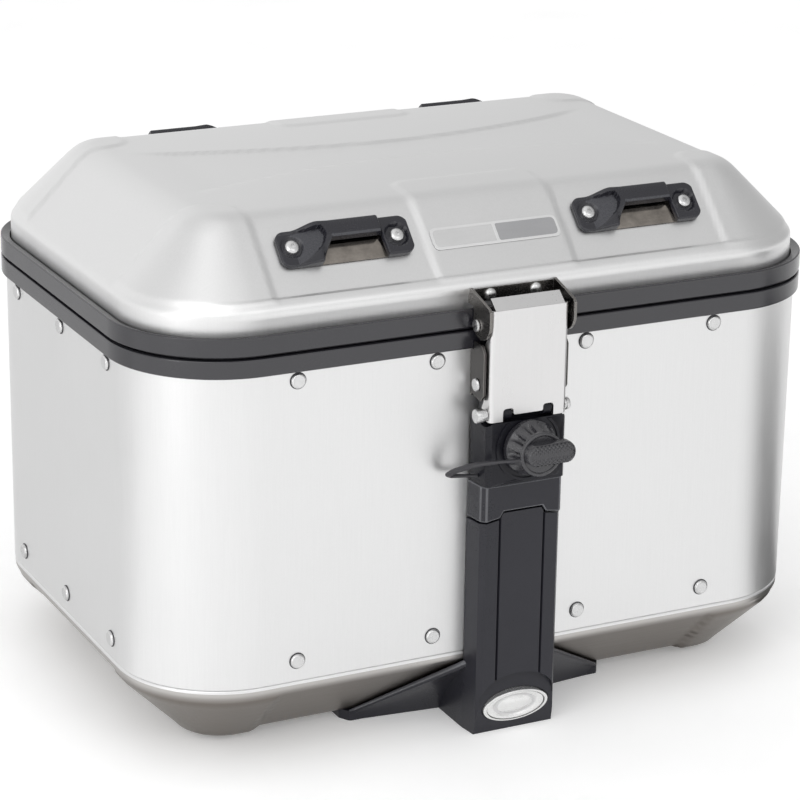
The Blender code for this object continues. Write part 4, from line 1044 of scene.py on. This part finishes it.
def make_plate():
    hw, t = 24.7, 1.5
    channel = ([(-hw, front(9.0)), (-hw, front(17.9))]
               + arc((-hw + 2.6, front(17.9)), 2.6, 180, 270, 6)
               + arc((hw - 2.6, front(17.9)), 2.6, 270, 360, 6) + [(hw, front(9.0))]
               + [(hw - t, front(9.0))] + arc((hw - 2.6, front(17.9)), 1.1, 0, -90, 4)
               + arc((-hw + 2.6, front(17.9)), 1.1, -90, -180, 4) + [(-hw + t, front(9.0))])
    flange = rounded([(20.8, 195.8), (11.8, 195.8), (9.6, 199.6), (10.8, 204.0), (12.6, 206.6),
                      (12.6, 240.0), (15.9, 244.6), (15.9, 257.5), (18.4, 261.6), (20.8, 261.6)],
                     [0, 2.5, 3, 2, 2, 3, 3, 2, 0, 0], 3)
    plate = boolean(prism(channel, 190.0, 270.0, "Z"), side_prism(flange, -30.0, 30.0),
                    "INTERSECT")
    flap = side_prism([(18.6, 259.6), (20.5, 260.0), (20.0, 261.4), (12.9, 267.3), (11.9, 266.0)],
                      -22.0, 22.0)
    plate = boolean(plate, flap, "UNION")
    notch = rounded([(-16.2, 190.0), (16.2, 190.0), (16.2, 203.2), (9.5, 203.2), (9.5, 199.2),
                     (-9.5, 199.2), (-9.5, 203.2), (-16.2, 203.2)],
                    [0, 0, 2.2, 2.2, 1.2, 1.2, 2.2, 2.2], 4)
    plate = boolean(plate, prism(notch, front(22), front(18), "Y"))
    plate = boolean(plate, rod(2.1, -40, 40, (0, front(LINK_PIVOT[0]), LINK_PIVOT[1]),
                               X_AXIS))
    bevel(plate, 0.38, 3, 40.0)
    piece("draw_plate", plate, STEEL, "latch_plate", ["latch_plate"], 34.0)


def make_cap():
    flutes = 10

    def fluted(angle, height):
        if not 5.0 < height < 14.9:
            return 1.0
        depth = 0.15 * min(1.0, (height - 5.0) / 2.0, (14.9 - height) / 1.0)
        return 1.0 - depth * max(0.0, cos(flutes * angle)) ** 0.5

    face = (0, front(BLOCK_FRONT), KEY_Z)
    profile = [(0, 5.4), (11.1, 5.4), (11.1, 0.5), (15.4, 0.5), (16.1, 0.8), (16.4, 1.5),
               (16.4, 4.2), (16.1, 5.0), (15.8, 5.8), (15.3, 7.4), (14.7, 9.4), (14.2, 11.4),
               (13.7, 13.4), (13.4, 14.6), (13.3, 15.0), (13.2, 16.6), (12.8, 17.2),
               (11.9, 17.4), (11.2, 17.2), (10.8, 16.7), (0, 16.6)]
    body = turned(profile, face, AHEAD, 120, fluted)
    # knurled grip bar
    rows, cols, x0, x1 = 150, 120, -12.0, 18.4
    loops = []
    for i in range(rows + 1):
        s = i / rows
        x = x0 + (x1 - x0) * s
        end = min(x - x0, x1 - x)
        round_end = sqrt(max(0.0, 1 - max(0.0, 1 - end / 5.2) ** 2))
        loop = []
        for k in range(cols):
            a = 2 * pi * k / cols
            c, d = cos(a), sin(a)
            u = 6.3 * round_end * (abs(c) ** 0.5) * (1 if c > 0 else -1)
            v = 5.2 * (abs(d) ** 0.5) * (1 if d > 0 else -1)
            if v > 0:
                v *= 0.55 + 0.45 * round_end
            knurl = 0.0
            if v > 1.5 and 0.05 < s < 0.95 and abs(u) < 5.9:
                knurl = 0.7 * abs(cos(1.25 * (x + 1.1 * u)) * cos(1.25 * (x - 1.1 * u)))
            loop.append((x, front(40.6) - v + knurl, KEY_Z + 1.6 + u))
        loops.append(loop)
    piece("cap_moulding", merged(body, loft(loops)), CAP_RUBBER, "key_cap", ["key_cap"],
          45.0)


def make_tether():
    """Flat rubber strap from the cap's rim out to the left and back to the block."""
    knots = [(-11.6, 35.6, 177.6), (-16.0, 34.0, 176.8), (-24.0, 29.0, 175.6),
             (-33.0, 21.5, 172.8), (-40.5, 13.5, 168.2), (-43.2, 9.2, 165.0),
             (-42.0, 6.6, 162.8), (-35.0, 7.4, 161.8), (-26.3, 10.4, 161.6)]
    knots = [Vector((x, front(d), z)) for x, d, z in knots]
    ends = [knots[0] * 2 - knots[1]] + knots + [knots[-1] * 2 - knots[-2]]
    path = []
    for a, b, c, d in zip(ends, ends[1:], ends[2:], ends[3:]):
        for k in range(10):
            t = k / 10
            path.append(0.5 * (2 * b + (c - a) * t + (2 * a - 5 * b + 4 * c - d) * t * t
                               + (3 * b - a - 3 * c + d) * t ** 3))
    path.append(knots[-1])
    loops = []
    for i, p in enumerate(path):
        ahead, behind = path[min(i + 1, len(path) - 1)], path[max(i - 1, 0)]
        along = (ahead - behind).normalized()
        across = along.cross(Vector((0, 0, 1))).normalized()
        thick = across.cross(along).normalized()
        s = i / (len(path) - 1)
        bulge = sin(pi * min(1.0, max(0.0, (s - 0.2) / 0.7)))
        loop = []
        for k in range(16):
            a = 2 * pi * k / 16
            loop.append(p + across * ((1.5 + 1.0 * bulge) * cos(a))
                        + thick * ((0.95 + 0.75 * bulge) * sin(a)))
        loops.append(loop)
    obj = piece("tether_strap", loft(loops), RUBBER, None, ["cap_tether"],
                60.0)
    obj.modifiers.clear()
    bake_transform(obj)


# ==== rear hinges =================================================================
def make_hinges():
    rear = lambda e: HALF_D + e
    knuckle = (HINGE_Y, HINGE_Z)
    for index, side in enumerate((-1, 1)):
        x = side * HINGE_X
        leaf = prism([(rear(0.4), 204.0), (rear(2.4), 204.0), (rear(2.4), 230.6),
                      (rear(6.0), 234.6), (rear(6.0), 241.5), (rear(3.7), 241.5),
                      (rear(3.7), 235.6), (rear(0.4), 232.0)], x - 22, x + 22)
        plan = prism(rounded([(x - 22, 203), (x + 22, 203), (x + 22, 245), (x - 22, 245)],
                             [5, 5, 2, 2], 5), rear(-2), rear(9), "Y")
        leaf = boolean(leaf, plan, "INTERSECT")
        leaf = boolean(leaf, prism(
            [(rear(3.7), 240.5), (rear(6.0), 240.5)] + arc(knuckle, 4.5, -75, 180, 22)
            + [(rear(3.7), 246.0)], x - 9, x + 9), "UNION")
        leaf = boolean(leaf, rod(2.4, -40, 40, (x, *knuckle), X_AXIS))
        bevel(leaf, 0.3, 2, 40.0)
        piece(f"hinge_leaf_body_{index + 1}", leaf, STEEL, "case",
              [f"hinge_body_leaf_{index + 1}"])
        leaf = prism([(rear(-3.0), 261.2), (rear(3.4), 260.9), (rear(3.7), 260.0),
                      (rear(3.7), 253.0), (rear(6.0), 253.0), (rear(6.0), 262.0),
                      (rear(5.2), 262.8), (rear(-1.0), 264.6), (rear(-1.0), 269.0),
                      (rear(-3.0), 269.0)], x - 22, x + 22)
        outline_ = ([(rear(3.7), 254.0), (rear(3.7), 248.6)]
                    + arc(knuckle, 4.5, 180, 435, 26) + [(rear(6.0), 254.0)])
        leaf = boolean(leaf, merged(prism(outline_, x - 19, x - 9.5),
                                    prism(outline_, x + 9.5, x + 19)), "UNION")
        leaf = boolean(leaf, rod(2.4, -40, 40, (x, *knuckle), X_AXIS))
        bevel(leaf, 0.3, 2, 40.0)
        piece(f"hinge_leaf_lid_{index + 1}", leaf, STEEL, "lid",
              [f"hinge_lid_leaf_{index + 1}"])
        piece(f"hinge_axle_{index + 1}", pin((x, *knuckle), 2.0, 3.2, 19.5, 21.0), FASTENER,
              "case", [f"hinge_pin_{index + 1}"])
    sites = [(sx * HINGE_X + dx, 214.0) for sx in (-1, 1) for dx in (-14.0, 14.0)]
    for index, (x, z) in enumerate(sites):
        bm = turned([(0, -0.3), (3.8, -0.3), (3.8, 0.4), (3.2, 1.2), (1.8, 1.7), (0, 1.85)],
                    (x, HALF_D + 2.4, z), (0, 1, 0), 28)
        tail = turned([(0, -5.8), (1.6, -5.7), (2.9, -5.0), (3.2, -4.2), (0, -4.2)],
                      (x, HALF_D + 2.4, z), (0, 1, 0), 20)
        piece(f"hinge_rivet_head_{index + 1}", merged(bm, tail), FASTENER, "case",
              [f"hinge_rivet_{index + 1}"])


def dress_cad_nodes():
    """The CAD nodes that stay get the finish of their material."""
    for node, mat in (("mount_hook", BRACKET), ("key_cylinder", STEEL), ("lock_bolt", STEEL)):
        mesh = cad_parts[node].data
        mesh.materials.clear()
        mesh.materials.append(mat)


make_camera()
make_studio()
make_floor()
make_cards()
make_lid()
make_badge()
make_loops()
make_body()
make_tray()
make_column()
make_button()
make_brackets()
make_handle()
make_plate()
make_cap()
make_tether()
make_hinges()
dress_cad_nodes()
